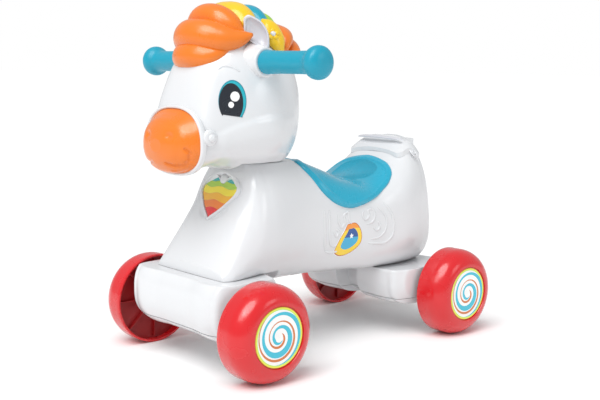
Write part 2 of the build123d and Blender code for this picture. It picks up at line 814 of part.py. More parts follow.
with BuildPart() as battery_door:
    add(
        block(
            (inside_x[0] + door_gap, inside_x[1] - door_gap),
            (inside_y[0] + door_gap, inside_y[1] - door_gap),
            door_z,
            corner=1,
        )
    )
    add(post(door_head_radius + door_gap, 0, door_head_top, door_post_x, battery_mid_y), mode=Mode.SUBTRACT)
    add(post(door_screw_radius + door_gap, 0, door_z[1], door_post_x, battery_mid_y), mode=Mode.SUBTRACT)
finish(battery_door.part, "battery_door")
finish(
    post(door_head_radius, door_z[0] + door_gap, door_head_top, door_post_x, battery_mid_y)
    + post(door_screw_radius, door_head_top, door_z[1] + 10, door_post_x, battery_mid_y),
    "door_screw",
)
cells = [
    rod(cell_radius, cell_start_x, cell_start_x + cell_length, battery_mid_y + row * cell_pitch, cell_z)
    for row in (-1, 0, 1)
]
finish(Compound(children=cells), "batteries")
with BuildPart() as switch_body:
    add(block((-12, 18), (switch_y - 7, switch_y + 7), (switch_floor_z, switch_floor_z + 12)))
    add(
        block(
            (-switch_knob / 2 - switch_gap, switch_knob / 2 + switch_gap + switch_travel),
            (switch_y - switch_knob / 2 - switch_gap, switch_y + switch_knob / 2 + switch_gap),
            (switch_floor_z, switch_floor_z + 6),
        ),
        mode=Mode.SUBTRACT,
    )
finish(switch_body.part, "switch_body")
power_switch = block(
    (-switch_knob / 2, switch_knob / 2),
    (switch_y - switch_knob / 2, switch_y + switch_knob / 2),
    (switch_tip_z, switch_floor_z + 5.5),
)
finish(power_switch, "power_switch")
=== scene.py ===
"""Ride-on toy horse: the finished look of every piece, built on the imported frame.

Metres, +Z up, the horse faces -Y and +X is its left side. Every new piece is a surface worked out as whole
arrays: a function of two parameters on a grid, or a profile carried along a path.
"""

import math

import bpy
import numpy as np
from bpy.props import FloatProperty, FloatVectorProperty, PointerProperty
from mathutils import Matrix, Vector


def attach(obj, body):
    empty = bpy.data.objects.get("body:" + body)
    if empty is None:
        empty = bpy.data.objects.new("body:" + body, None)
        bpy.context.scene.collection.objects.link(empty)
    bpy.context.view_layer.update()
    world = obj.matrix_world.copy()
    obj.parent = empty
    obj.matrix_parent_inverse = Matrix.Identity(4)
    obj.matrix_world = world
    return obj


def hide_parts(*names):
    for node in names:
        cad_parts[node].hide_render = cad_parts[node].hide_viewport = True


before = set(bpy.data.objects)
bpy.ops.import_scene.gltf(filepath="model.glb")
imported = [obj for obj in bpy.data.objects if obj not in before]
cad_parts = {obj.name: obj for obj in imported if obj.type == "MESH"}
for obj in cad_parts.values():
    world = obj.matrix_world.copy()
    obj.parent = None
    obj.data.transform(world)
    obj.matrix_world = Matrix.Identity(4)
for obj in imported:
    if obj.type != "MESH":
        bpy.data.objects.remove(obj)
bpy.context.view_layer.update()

bl_info = {
    "name": "Ride-on horse",
    "version": (1, 0, 0),
    "blender": (4, 5, 0),
    "location": "View3D > Sidebar > Horse",
    "description": "Builds the visible surfaces and finishes of a ride-on toy horse",
    "category": "Object",
}

MM = 0.001
TURN = 2 * math.pi

# ---- Sections of the body, head and muzzle ---------------------------------------------------------
# Each row is: y, lowest z, highest z, half width near the bottom, half width near the top, squareness.
BODY_ROWS = [
    (-216, 120, 146, 84, 70, 3.0),
    (-208, 118, 160, 92, 68, 2.9),
    (-192, 116, 190, 98, 66, 2.8),
    (-176, 114, 220, 100, 64, 2.7),
    (-160, 112, 252, 101, 63, 2.6),
    (-148, 110, 285, 101, 62, 2.6),
    (-125, 109, 300, 99, 62, 2.6),
    (-95, 108, 302, 90, 64, 2.6),
    (-55, 107, 288, 79, 70, 2.6),
    (-10, 106, 270, 78, 76, 2.8),
    (45, 105, 249, 82, 82, 3.1),
    (90, 103, 243, 88, 84, 3.4),
    (120, 102, 257, 94, 84, 3.4),
    (150, 101, 281, 98, 80, 3.2),
    (175, 100, 303, 97, 70, 3.1),
    (198, 100, 305, 91, 62, 2.9),
    (218, 101, 291, 80, 56, 2.7),
    (229, 104, 262, 64, 48, 2.5),
]
HEAD_ROWS = [
    (-236, 275, 370, 68, 52, 2.5),
    (-228, 277, 402, 73, 54, 2.4),
    (-218, 279, 428, 77, 56, 2.4),
    (-200, 281, 454, 84, 60, 2.3),
    (-175, 278, 476, 91, 67, 2.3),
    (-140, 272, 484, 95, 72, 2.3),
    (-110, 272, 480, 92, 72, 2.3),
    (-85, 274, 466, 82, 66, 2.3),
    (-66, 284, 448, 66, 55, 2.2),
    (-52, 312, 422, 43, 38, 2.1),
    (-46, 335, 397, 20, 18, 2.0),
]
MUZZLE_ROWS = [
    (-271.5, 305, 323, 12, 12, 2.0),
    (-268.5, 294, 334, 29, 28, 2.1),
    (-262, 283, 346, 45, 43, 2.2),
    (-252, 276, 354, 57, 54, 2.3),
    (-246, 275.5, 358, 62, 58.5, 2.3),
    (-241, 274, 363, 66, 61.5, 2.4),
]
FRONT_SEAM, REAR_SEAM, NECK_TOP = 131 * MM, 108 * MM, 285 * MM
FRONT_AXLE_Y, REAR_AXLE_Y, AXLE_Z = -191 * MM, 203 * MM, 68 * MM
BAR_Y, BAR_Z = -145 * MM, 427 * MM
HEART_CENTRE = np.array([0, -168, 233]) * MM
HEART_LEAN = math.radians(28)
HEART_HALF = 38 * MM
HEART_WAVE, HEART_WAVES = 0.042, 5.6
DOOR_LEVEL = 112.6 * MM
EYE_CENTRE, EYE_HALF = np.array([60, -188, 374.5]) * MM, (19.2 * MM, 28.2 * MM)
STUD_Y, STUD_Z = -229 * MM, 326 * MM
EAR_PLACE = np.array([67, -151, 466.5]) * MM


# ---- Arrays ------------------------------------------------------------------------------------
def in_metres(rows):
    """The section table in metres, its last column, a power, unchanged."""
    table = np.array(rows, float)
    table[:, :-1] *= MM
    return table


def rows_at(table, places):
    """Rows of a table at given values of its first column: a cubic (Hermite, with central slopes)."""
    keys = table[:, 0]
    slopes = np.gradient(table, keys, axis=0)
    places = np.clip(places, keys[0], keys[-1])
    k = np.clip(np.searchsorted(keys, places, side="right") - 1, 0, len(keys) - 2)
    span = (keys[k + 1] - keys[k])[..., None]
    s = (places[..., None] - keys[k][..., None]) / span
    return (
        (2 * s**3 - 3 * s**2 + 1) * table[k]
        + (s**3 - 2 * s**2 + s) * span * slopes[k]
        + (3 * s**2 - 2 * s**3) * table[k + 1]
        + (s**3 - s**2) * span * slopes[k + 1]
    )


def curve(points, count):
    """Smooth path through points, evenly stepped along the chord length."""
    points = np.array(points, float)
    chord = np.concatenate([[0], np.cumsum(np.linalg.norm(np.diff(points[:, :3], axis=0), axis=1))])
    table = np.column_stack([chord, points])
    return rows_at(table, np.linspace(0, chord[-1], count))[:, 1:]


def step(value, low, high):
    """Smooth step from 0 at low to 1 at high."""
    t = np.clip((value - low) / (high - low), 0, 1)
    return t * t * (3 - 2 * t)


def unit_oval(angle, power):
    """Superellipse of unit half width, r = (|cos|^p + |sin|^p)^(-1/p), as across and up."""
    c, s = np.cos(angle), np.sin(angle)
    r = (np.abs(c) ** power + np.abs(s) ** power) ** (-1 / power)
    return r * c, r * s


def sections(table, along, around):
    """Grid of superellipse sections across the horse: first index along y, second round the section."""
    rows = rows_at(table, along)
    angle = np.linspace(0, TURN, around, endpoint=False)[None, :]
    across, up = unit_oval(angle, rows[:, 5:6])
    rise = (1 + up) / 2
    half = rows[:, 3:4] + (rows[:, 4:5] - rows[:, 3:4]) * rise
    z = rows[:, 1:2] + (rows[:, 2:3] - rows[:, 1:2]) * rise
    y = np.broadcast_to(along[:, None], z.shape)
    return np.stack([across * half, y, z], axis=-1)


def side_x(table, y, z):
    """Half width of the form at a height: the section solved for x."""
    rows = rows_at(table, y)
    rise = np.clip((z - rows[..., 1]) / (rows[..., 2] - rows[..., 1]), 0.001, 0.999)
    across = (1 - np.abs(2 * rise - 1) ** rows[..., 5]) ** (1 / rows[..., 5])
    return across * (rows[..., 3] + (rows[..., 4] - rows[..., 3]) * rise)


def floor_at(z, level, soft):
    """z, never under the level, with a small round where it meets it."""
    return level + soft * np.logaddexp(0, (z - level) / soft)


def ceiling_at(z, level, soft):
    """z, never over the level, with a small round where it meets it."""
    return level - soft * np.logaddexp(0, (level - z) / soft)


def domed(grid, first, last):
    """The grid with each end closed by rings that shrink as a quarter ellipse of that depth along y."""
    turn = np.linspace(0, math.pi / 2, 10)[1:-1, None, None]
    out = []
    for ring, depth in ((grid[0], -first), (grid[-1], last)):
        centre = ring.mean(axis=0)
        shrunk = centre + (ring - centre) * np.cos(turn)
        shrunk = shrunk + np.array([0, depth, 0]) * np.sin(turn)
        out.append(shrunk)
    return np.concatenate([out[0][::-1], grid, out[1]])


def segment_distance(y, z, path):
    """Distance in the side view from each point to a path of straight pieces."""
    path = np.array(path, float) * MM
    best = np.full(y.shape, 1e9)
    for (ay, az), (by, bz) in zip(path[:-1], path[1:]):
        dy, dz = by - ay, bz - az
        t = np.clip(((y - ay) * dy + (z - az) * dz) / (dy * dy + dz * dz), 0, 1)
        best = np.minimum(best, np.hypot(y - ay - t * dy, z - az - t * dz))
    return best


def tube(path, radii, up, sides):
    """Oval profile carried along a path: point + side * a * cos + up * b * sin, with a and b from radii."""
    heading = np.gradient(path, axis=0)
    heading /= np.linalg.norm(heading, axis=1, keepdims=True)
    side = np.cross(heading, np.broadcast_to(up, path.shape))
    side /= np.linalg.norm(side, axis=1, keepdims=True)
    lift = np.cross(side, heading)
    angle = np.linspace(0, TURN, sides, endpoint=False)[None, :, None]
    return (
        path[:, None]
        + side[:, None] * radii[:, None, :1] * np.cos(angle)
        + lift[:, None] * radii[:, None, 1:] * np.sin(angle)
    )


def turned(profile, centre_y, centre_z, around=144):
    """Surface of revolution about an axle along X: profile rows are x and radius."""
    profile = np.array(profile, float) * MM
    angle = np.linspace(0, TURN, around, endpoint=False)[None, :]
    x = np.broadcast_to(profile[:, :1], (len(profile), around))
    y = centre_y + profile[:, 1:] * np.cos(angle)
    z = centre_z + profile[:, 1:] * np.sin(angle)
    return np.stack([x, y, z], axis=-1)


def rounded(corners, radius, steps=5):
    """Profile with each inner corner replaced by a small arc-like blend (quadratic through the corner)."""
    corners = np.array(corners, float)
    out = [corners[:1]]
    t = np.linspace(0, 1, steps)[:, None]
    for before, corner, after in zip(corners[:-2], corners[1:-1], corners[2:]):
        back = before - corner
        ahead = after - corner
        room_back, room_ahead = np.linalg.norm(back), np.linalg.norm(ahead)
        start = corner + back / room_back * min(radius, room_back * 0.45)
        end = corner + ahead / room_ahead * min(radius, room_ahead * 0.45)
        out.append((1 - t) ** 2 * start + 2 * t * (1 - t) * corner + t**2 * end)
    out.append(corners[-1:])
    return np.concatenate(out)


# ---- Meshes --------------------------------------------------------------------------------------
def put(name, grid, material, body, hides=(), ends=True, uv=None, crease=None):
    """Mesh object from a grid of rings: quads between neighbours, ends closed by a pole where asked."""
    rows, columns = grid.shape[:2]
    points = grid.reshape(-1, 3)
    i = np.arange(rows - 1)[:, None] * columns
    j = np.arange(columns)[None, :]
    k = (j + 1) % columns
    quads = np.stack([i + j, i + k, i + columns + k, i + columns + j], axis=-1).reshape(-1, 4)
    loops = [quads.reshape(-1)]
    sizes = [np.full(len(quads), 4)]
    if ends:
        first = rows * columns
        points = np.concatenate([points, grid[:1].mean(axis=1), grid[-1:].mean(axis=1)])
        ring = np.arange(columns)
        after = (ring + 1) % columns
        top = (rows - 1) * columns
        loops.append(np.stack([np.full(columns, first), after, ring], axis=-1).reshape(-1))
        loops.append(np.stack([np.full(columns, first + 1), top + ring, top + after], axis=-1).reshape(-1))
        sizes.append(np.full(2 * columns, 3))
    loops = np.concatenate(loops)
    sizes = np.concatenate(sizes)
    starts = np.concatenate([[0], np.cumsum(sizes)[:-1]])
    mesh = bpy.data.meshes.new(name)
    mesh.vertices.add(len(points))
    mesh.vertices.foreach_set("co", points.reshape(-1).astype(np.float32))
    mesh.loops.add(len(loops))
    mesh.loops.foreach_set("vertex_index", loops.astype(np.int32))
    mesh.polygons.add(len(sizes))
    mesh.polygons.foreach_set("loop_start", starts.astype(np.int32))
    mesh.polygons.foreach_set("loop_total", sizes.astype(np.int32))
    mesh.polygons.foreach_set("use_smooth", np.ones(len(sizes), bool))
    if uv is not None:
        layer = mesh.uv_layers.new(name="print")
        flat = uv.reshape(-1, 2)
        if ends:
            flat = np.concatenate([flat, uv[:1].mean(axis=1), uv[-1:].mean(axis=1)])
        layer.data.foreach_set("uv", flat[loops].reshape(-1).astype(np.float32))
    mesh.update(calc_edges=True)
    mesh.validate()
    if ends:
        corner = points[loops]
        first_point = np.repeat(points[loops[starts]], sizes, axis=0)
        following = np.concatenate([corner[1:], corner[:1]])
        is_last = np.zeros(len(loops), bool)
        is_last[starts + sizes - 1] = True
        volume = np.einsum("ij,ij->i", first_point, np.cross(corner, following))[~is_last].sum()
        if volume < 0:
            mesh.flip_normals()
    if crease is not None:
        mesh.set_sharp_from_angle(angle=math.radians(crease))
    piece = bpy.data.objects.new(name, mesh)
    bpy.context.scene.collection.objects.link(piece)
    mesh.materials.append(material)
    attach(piece, body)
    if hides:
        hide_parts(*hides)
    return piece


def joined(name, grids, material, body, hides=()):
    """One object from several closed grids."""
    made = [put(f"{name}.{n}", grid, material, body) for n, grid in enumerate(grids)]
    piece = made[0]
    chosen = {"active_object": piece, "selected_editable_objects": made, "selected_objects": made}
    with bpy.context.temp_override(**chosen):
        bpy.ops.object.join()
    piece.name = name
    piece.data.name = name
    if hides:
        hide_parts(*hides)
    return piece


# ---- Finishes ------------------------------------------------------------------------------------
class Nodes:
    """Small helper round one material's node tree."""

    def __init__(self, name):
        self.material = bpy.data.materials.new(name)
        self.material.use_nodes = True
        self.tree = self.material.node_tree
        self.shader = self.tree.nodes["Principled BSDF"]
        self.place = self.tree.nodes.new("ShaderNodeTexCoord").outputs["Object"]

    def node(self, kind, **values):
        made = self.tree.nodes.new(kind)
        for key, value in values.items():
            if key in made.inputs:
                made.inputs[key].default_value = value
            else:
                setattr(made, key, value)
        return made

    def link(self, start, end):
        self.tree.links.new(start, end)

    def math(self, operation, first, second=None):
        made = self.node("ShaderNodeMath", operation=operation)
        for socket, value in zip(made.inputs, (first, second)):
            if value is None:
                continue
            if isinstance(value, (int, float)):
                socket.default_value = value
            else:
                self.link(value, socket)
        return made.outputs[0]

    def squares(self, first, second):
        return self.math("ADD", self.math("MULTIPLY", first, first), self.math("MULTIPLY", second, second))

    def reach(self, first, second):
        return self.math("SQRT", self.squares(first, second))

    def parts(self, vector):
        split = self.node("ShaderNodeSeparateXYZ")
        self.link(vector, split.inputs[0])
        return split.outputs

    def print_map(self):
        parts = self.parts(self.node("ShaderNodeUVMap", uv_map="print").outputs[0])
        return parts["X"], parts["Y"]

    def noise(self, scale, detail, place=None):
        made = self.node("ShaderNodeTexNoise", Scale=scale, Detail=detail)
        self.link(place or self.place, made.inputs["Vector"])
        return made.outputs["Fac"]

    def mix(self, factor, first, second):
        made = self.node("ShaderNodeMix", data_type="RGBA")
        for socket, value in ((made.inputs[0], factor), (made.inputs[6], first), (made.inputs[7], second)):
            if isinstance(value, (int, float)):
                socket.default_value = value
            elif isinstance(value, (tuple, list)):
                socket.default_value = (*value[:3], 1)
            else:
                self.link(value, socket)
        return made.outputs[2]

    def bands(self, value, stops):
        made = self.node("ShaderNodeValToRGB")
        band = made.color_ramp
        band.interpolation = "CONSTANT"
        while len(band.elements) < len(stops):
            band.elements.new(0.5)
        for element, (place, colour) in zip(band.elements, stops):
            element.position = place
            element.color = (*colour[:3], 1)
        self.link(value, made.inputs[0])
        return made.outputs[0]

    def remap(self, value, low, high, to_low, to_high):
        made = self.node("ShaderNodeMapRange")
        self.link(value, made.inputs["Value"])
        made.inputs["From Min"].default_value = low
        made.inputs["From Max"].default_value = high
        made.inputs["To Min"].default_value = to_low
        made.inputs["To Max"].default_value = to_high
        return made.outputs["Result"]

    def bump(self, height, strength, distance):
        made = self.node("ShaderNodeBump", Strength=strength, Distance=distance)
        self.link(height, made.inputs["Height"])
        self.link(made.outputs["Normal"], self.shader.inputs["Normal"])


def finish_plastic(nodes, colour, rough=0.22, coat=0.35, peel=0.06, grain=0.0, tone=0.05):
    """Moulded plastic: soft tone variation, uneven gloss, orange peel and a fine moulded grain."""
    drift = nodes.noise(9.0, 3.0)
    if isinstance(colour, tuple):
        light = tuple(min(1.0, c * (1 + tone)) for c in colour)
        dark = tuple(c * (1 - tone) for c in colour)
        base = nodes.mix(drift, dark, light)
    else:
        base = nodes.mix(nodes.remap(drift, 0.3, 0.7, 0.0, tone), colour, (1.0, 1.0, 1.0))
    nodes.link(base, nodes.shader.inputs["Base Color"])
    smear = nodes.noise(38.0, 4.0)
    nodes.link(nodes.remap(smear, 0.3, 0.7, rough * 0.8, rough * 1.3), nodes.shader.inputs["Roughness"])
    nodes.shader.inputs["Coat Weight"].default_value = coat
    nodes.shader.inputs["Coat Roughness"].default_value = 0.12
    nodes.shader.inputs["IOR"].default_value = 1.5
    waves = nodes.math("MULTIPLY", nodes.noise(120.0, 2.0), peel * 3)
    fine = nodes.math("MULTIPLY", nodes.noise(1400.0, 2.0), grain)
    height = nodes.math("ADD", waves, fine)
    nodes.bump(height, 0.35, 0.0006)
    return nodes.material


def plastic(name, colour, **settings):
    """Plain moulded plastic of one colour."""
    return finish_plastic(Nodes(name), tuple(colour), **settings)


def metal(name, colour, rough, brushed=0.0):
    """Drawn or plated steel with fine lines along X and small stains."""
    nodes = Nodes(name)
    stretch = nodes.node("ShaderNodeMapping")
    stretch.inputs["Scale"].default_value = (1, 40, 40) if brushed else (1, 1, 1)
    nodes.link(nodes.place, stretch.inputs["Vector"])
    lines = nodes.noise(60.0, 4.0, stretch.outputs[0])
    stain = nodes.noise(90.0, 3.0)
    nodes.link(nodes.mix(stain, tuple(c * 0.82 for c in colour), colour), nodes.shader.inputs["Base Color"])
    nodes.link(nodes.remap(lines, 0.3, 0.7, rough * 0.7, rough * 1.4), nodes.shader.inputs["Roughness"])
    nodes.shader.inputs["Metallic"].default_value = 1.0
    nodes.bump(lines, 0.2, 0.0002)
    return nodes.material


def hub_print(name, axle_y):
    """Printed hub disc: a spiral of bands, s = radius / pitch - angle / turn, inside a bright ring."""
    nodes = Nodes(name)
    parts = nodes.parts(nodes.place)
    y = nodes.math("SUBTRACT", parts["Y"], axle_y)
    z = nodes.math("SUBTRACT", parts["Z"], AXLE_Z)
    radius = nodes.reach(y, z)
    turn = nodes.math("DIVIDE", nodes.math("ARCTAN2", z, y), TURN)
    wound = nodes.math("ADD", nodes.math("DIVIDE", radius, 0.0178), turn)
    band = nodes.math("FRACT", nodes.math("ADD", wound, 0.30))
    swell = nodes.math("COSINE", nodes.math("MULTIPLY", nodes.math("ADD", turn, 0.16), TURN))
    cyan, white, brown = (0.02, 0.50, 0.66), (0.93, 0.93, 0.91), (0.62, 0.16, 0.02)

    def ribbon(middle, half, taper, colour, under):
        away = nodes.math("ABSOLUTE", nodes.math("SUBTRACT", band, middle))
        width = nodes.math("ADD", nodes.math("MULTIPLY", swell, taper), half)
        return nodes.mix(nodes.math("LESS_THAN", away, width), under, colour)

    bands = ribbon(0.76, 0.075, 0.035, brown, ribbon(0.34, 0.175, 0.075, cyan, white))
    centre = nodes.mix(nodes.math("LESS_THAN", radius, 0.0065), bands, white)
    ring = nodes.bands(
        nodes.math("MULTIPLY", radius, 20.0),
        [(0.0, white), (0.745, (0.55, 0.85, 0.10)), (0.775, (0.95, 0.85, 0.05)), (0.80, (0.75, 0.80, 0.05))],
    )
    colour = nodes.mix(nodes.math("GREATER_THAN", radius, 0.03725), centre, ring)
    return finish_plastic(nodes, colour, rough=0.2, coat=0.5, peel=0.03, tone=0.02)


def heart_print(name):
    """Printed heart: wavy bands up the panel, their edges lifted and dropped in an m shape."""
    nodes = Nodes(name)
    u, v = nodes.print_map()
    turn = nodes.math("MULTIPLY", nodes.math("ABSOLUTE", u), HEART_WAVES)
    wave = nodes.math("MULTIPLY", nodes.math("COSINE", turn), -HEART_WAVE)
    place = nodes.remap(nodes.math("ADD", v, wave), -0.85, 0.95, 0.0, 1.0)
    red, orange, amber = (0.80, 0.02, 0.02), (0.90, 0.22, 0.02), (0.95, 0.48, 0.02)
    yellow, green, teal = (0.95, 0.78, 0.03), (0.42, 0.66, 0.05), (0.04, 0.45, 0.42)
    stops = [(0.0, red), (0.24, orange), (0.41, amber), (0.57, yellow), (0.72, green), (0.86, teal)]
    bands = nodes.bands(place, stops)
    return finish_plastic(nodes, bands, rough=0.16, coat=0.6, peel=0.02, tone=0.03)


def eye_print(name):
    """Printed eye: teal iris rim, near-black pupil with two white glints, in the patch's own map."""
    nodes = Nodes(name)
    u, v = nodes.print_map()

    def oval(x, y, half_x, half_y):
        across = nodes.math("DIVIDE", nodes.math("SUBTRACT", u, x), half_x)
        up = nodes.math("DIVIDE", nodes.math("SUBTRACT", v, y), half_y)
        return nodes.squares(across, up)

    teal, navy, rim = (0.02, 0.42, 0.50), (0.012, 0.016, 0.024), (0.01, 0.22, 0.30)
    glint_white = (0.95, 0.95, 0.95)
    iris = nodes.mix(nodes.remap(oval(0, 0, 1, 1), 0.86, 0.93, 0.0, 1.0), teal, rim)
    pupil = nodes.mix(nodes.math("LESS_THAN", oval(-0.10, -0.08, 0.87, 0.93), 1.0), iris, navy)
    glint = nodes.mix(nodes.math("LESS_THAN", oval(0.18, 0.22, 0.33, 0.235), 1.0), pupil, glint_white)
    both = nodes.mix(nodes.math("LESS_THAN", oval(-0.10, -0.17, 0.20, 0.145), 1.0), glint, glint_white)
    return finish_plastic(nodes, both, rough=0.25, coat=0.2, peel=0.02, tone=0.004)


def badge_print(name):
    """Printed flank badge: yellow border, orange tab, dark over light blue field with a plain star."""
    nodes = Nodes(name)
    u, v = nodes.print_map()
    reach = nodes.reach(u, v)
    field = nodes.mix(nodes.remap(v, 0.02, 0.06, 0.0, 1.0), (0.04, 0.42, 0.68), (0.01, 0.08, 0.32))
    away = nodes.math("SUBTRACT", v, 0.12)
    angle = nodes.math("ARCTAN2", u, away)
    points = nodes.math("ABSOLUTE", nodes.math("SINE", nodes.math("MULTIPLY", angle, 2.5)))
    far = nodes.reach(u, away)
    star = nodes.math("LESS_THAN", nodes.math("ADD", far, nodes.math("MULTIPLY", points, 0.09)), 0.19)
    drawn = nodes.mix(star, field, (0.95, 0.95, 0.95))
    border = nodes.mix(nodes.math("GREATER_THAN", reach, 0.62), drawn, (0.95, 0.66, 0.03))
    tab = nodes.math("MULTIPLY", nodes.math("GREATER_THAN", v, 0.60), nodes.math("LESS_THAN", reach, 0.95))
    tabbed = nodes.mix(tab, border, (0.90, 0.30, 0.03))
    line = nodes.mix(nodes.math("GREATER_THAN", reach, 0.93), tabbed, (0.45, 0.10, 0.02))
    rim = nodes.mix(nodes.math("GREATER_THAN", reach, 0.975), line, (0.93, 0.93, 0.93))
    return finish_plastic(nodes, rim, rough=0.22, coat=0.4, peel=0.02, tone=0.02)


# ---- Sizes and colours that a user may change -------------------------------------------------------
def colour_of(name, description, value):
    """A colour setting."""
    return FloatVectorProperty(
        name=name, description=description, subtype="COLOR", size=3, min=0, max=1, default=value
    )


def length_of(name, description, value):
    """A length setting in metres."""
    return FloatProperty(name=name, description=description, default=value, unit="LENGTH", min=0.0)


class HorseColours(bpy.types.PropertyGroup):
    """Colours of the plastics."""

    white: colour_of("White", "Body and head", (0.73, 0.74, 0.755))
    orange: colour_of("Orange", "Muzzle and forelock", (0.80, 0.19, 0.010))
    yellow: colour_of("Yellow", "Crest", (0.88, 0.56, 0.01))
    teal: colour_of("Teal", "Grips and one lock", (0.0, 0.32, 0.46))
    green: colour_of("Green", "Green lock", (0.33, 0.60, 0.02))
    saddle: colour_of("Saddle blue", "Saddle", (0.01, 0.38, 0.55))
    red: colour_of("Red", "Wheel shells", (0.66, 0.005, 0.010))
    dark_red: colour_of("Dark red", "Inner wheel plates", (0.30, 0.004, 0.006))


class HorseSizes(bpy.types.PropertyGroup):
    """Small lengths of the visible detail."""

    seam_round: length_of("Seam round", "Round of the shells where they meet", 0.0009)
    seam_gap: length_of("Seam gap", "Half the dark line between two shells", 0.0005)
    cheek: length_of("Cheek", "How far the cheek stands out under its crease", 0.0062)
    relief: length_of("Relief", "Height of the moulded lines on the flank", 0.0013)
    saddle_skin: length_of("Saddle thickness", "Thickness of the saddle at its rim", 0.0040)
    bead: length_of("Saddle bead", "Height of the bead round the saddle", 0.0012)


PALETTE = {}


def settings():
    """The user's sizes."""
    return bpy.context.scene.horse_sizes


# ---- Shapes ----------------------------------------------------------------------------------------
BODY, HEAD, MUZZLE = in_metres(BODY_ROWS), in_metres(HEAD_ROWS), in_metres(MUZZLE_ROWS)
CHEEK_LINE = [(-238, 322), (-215, 331), (-190, 341), (-165, 348), (-140, 352), (-118, 354)]


def heart_frame(points):
    """Across, up the panel and out of the panel, for points near the chest."""
    up = np.array([0, math.sin(HEART_LEAN), math.cos(HEART_LEAN)])
    out = np.array([0, -math.cos(HEART_LEAN), math.sin(HEART_LEAN)])
    away = points - HEART_CENTRE
    return away[..., 0], away @ up, away @ out


def from_heart_frame(across, up, out):
    """Points from across, up and out of the heart panel."""
    up_way = np.array([0, math.sin(HEART_LEAN), math.cos(HEART_LEAN)])
    out_way = np.array([0, -math.cos(HEART_LEAN), math.sin(HEART_LEAN)])
    across_way = np.array([1.0, 0, 0])
    return HEART_CENTRE + across[..., None] * across_way + up[..., None] * up_way + out[..., None] * out_way


def heart_loop(count, half):
    """Outline of the heart: a smooth path from the bottom tip over the left lobe, mirrored."""
    left = [(0, -0.78, 0), (-0.62, -0.22, 0), (-1, 0.38, 0), (-0.55, 0.88, 0), (0, 0.62, 0)]
    side = curve(left, count // 2 + 1)
    loop = np.concatenate([side[:-1], side[:0:-1] * [-1, 1, 1]])
    return loop[:, :2] * half


def body_grid(size):
    """Body skin: sections, cut by the seams and the neck, with the belly line, the battery door's recess and
    the heart's bed.
    """
    along = np.concatenate([np.linspace(-216, -140, 110), np.linspace(-139, 229, 250)]) * MM
    grid = domed(sections(BODY, along, 240), 0.0025, 0.012)
    x, y, z = grid[..., 0], grid[..., 1], grid[..., 2]
    # cut flat at the housings' seams, front and rear, with the free belly between them
    soft = size.seam_round * 0.5
    blend_front = step(y, -0.112, -0.080)
    blend_rear = step(y, 0.085, 0.105)
    base = FRONT_SEAM * (1 - blend_front) + 0.06 * blend_front
    base = base * (1 - blend_rear) + (REAR_SEAM + size.seam_gap) * blend_rear
    z = np.where((blend_front < 1) | (blend_rear > 0), floor_at(z, base, soft), z)
    # recess round the battery door
    recess = step(0.041 - np.abs(x), 0.0, 0.003) * step(0.031 - np.abs(y + 0.030), 0.0, 0.003)
    z = np.where(z < 0.120, np.maximum(z, z + (DOOR_LEVEL - z) * recess), z)
    z = np.where(y < -0.035, ceiling_at(z, NECK_TOP - size.seam_gap, soft), z)
    grid = np.stack([x, y, z], axis=-1)
    # bed for the heart panel
    across, up, out = heart_frame(grid)
    away = np.hypot(across / (1.05 * HEART_HALF), (up - 0.05 * HEART_HALF) / (0.98 * HEART_HALF))
    inside = 1 - step(away, 0.86, 1.0)
    sunk = np.where((inside > 0) & (out > -0.03), np.minimum(out, -0.001 * inside + out * (1 - inside)), out)
    return grid + (sunk - out)[..., None] * np.array([0, -math.cos(HEART_LEAN), math.sin(HEART_LEAN)])


def head_grid(size):
    """Head skin: sections, flat on the neck, with a cheek that stands out under its crease."""
    along = np.linspace(-236, -46, 260) * MM
    grid = domed(sections(HEAD, along, 260), 0.003, 0.006)
    x, y, z = grid[..., 0], grid[..., 1], grid[..., 2]
    x = x + np.sign(x) * cheek_lift(size, y, z) * step(np.abs(x), 0.02, 0.05)
    z = np.where(y > -0.160, floor_at(z, NECK_TOP + size.seam_gap, size.seam_round * 0.5), z)
    return np.stack([x, y, z], axis=-1)


def cheek_lift(size, y, z):
    """How far the head's skin stands out of its plain section at a place on its side."""
    line = np.interp(y, [p[0] * MM for p in CHEEK_LINE], [p[1] * MM for p in CHEEK_LINE])
    under = 1 / (1 + np.exp((z - line) / 0.0018))
    fade = step(y, -0.236, -0.205) * (1 - step(y, -0.135, -0.075)) * step(z, 0.285, 0.300)
    puff = size.cheek * under * fade * (0.55 + 0.45 * step(line - z, 0.0, 0.03))
    eye_socket = np.exp(-(((y + 0.197) / 0.030) ** 2) - ((z - 0.372) / 0.034) ** 2) * 0.0022
    return puff - eye_socket


def muzzle_grid():
    """Muzzle skin: sections closed by a dome, a smile pressed in on each side and a dished nostril."""
    along = np.linspace(-271.5, -241, 120) * MM
    grid = domed(sections(MUZZLE, along, 220), 0.0, 0.0015)
    x, y, z = grid[..., 0], grid[..., 1], grid[..., 2]
    smile = segment_distance(np.abs(x), z, [(16, 290), (30, 287), (44, 289), (52, 296), (54, 305), (50, 311)])
    groove = -0.0026 * np.exp(-((smile / 0.0020) ** 2)) * (1 - step(y, -0.243, -0.241))
    nostril = np.hypot((np.abs(x) - 0.026) / 0.007, (z - 0.328) / 0.005)
    dish = -0.0036 * np.exp(-(nostril**2)) * (1 - step(y, -0.255, -0.250))
    centre = np.array([0, -0.225, 0.314])
    out = grid - centre
    out /= np.linalg.norm(out, axis=-1, keepdims=True)
    return grid + out * (groove + dish)[..., None]


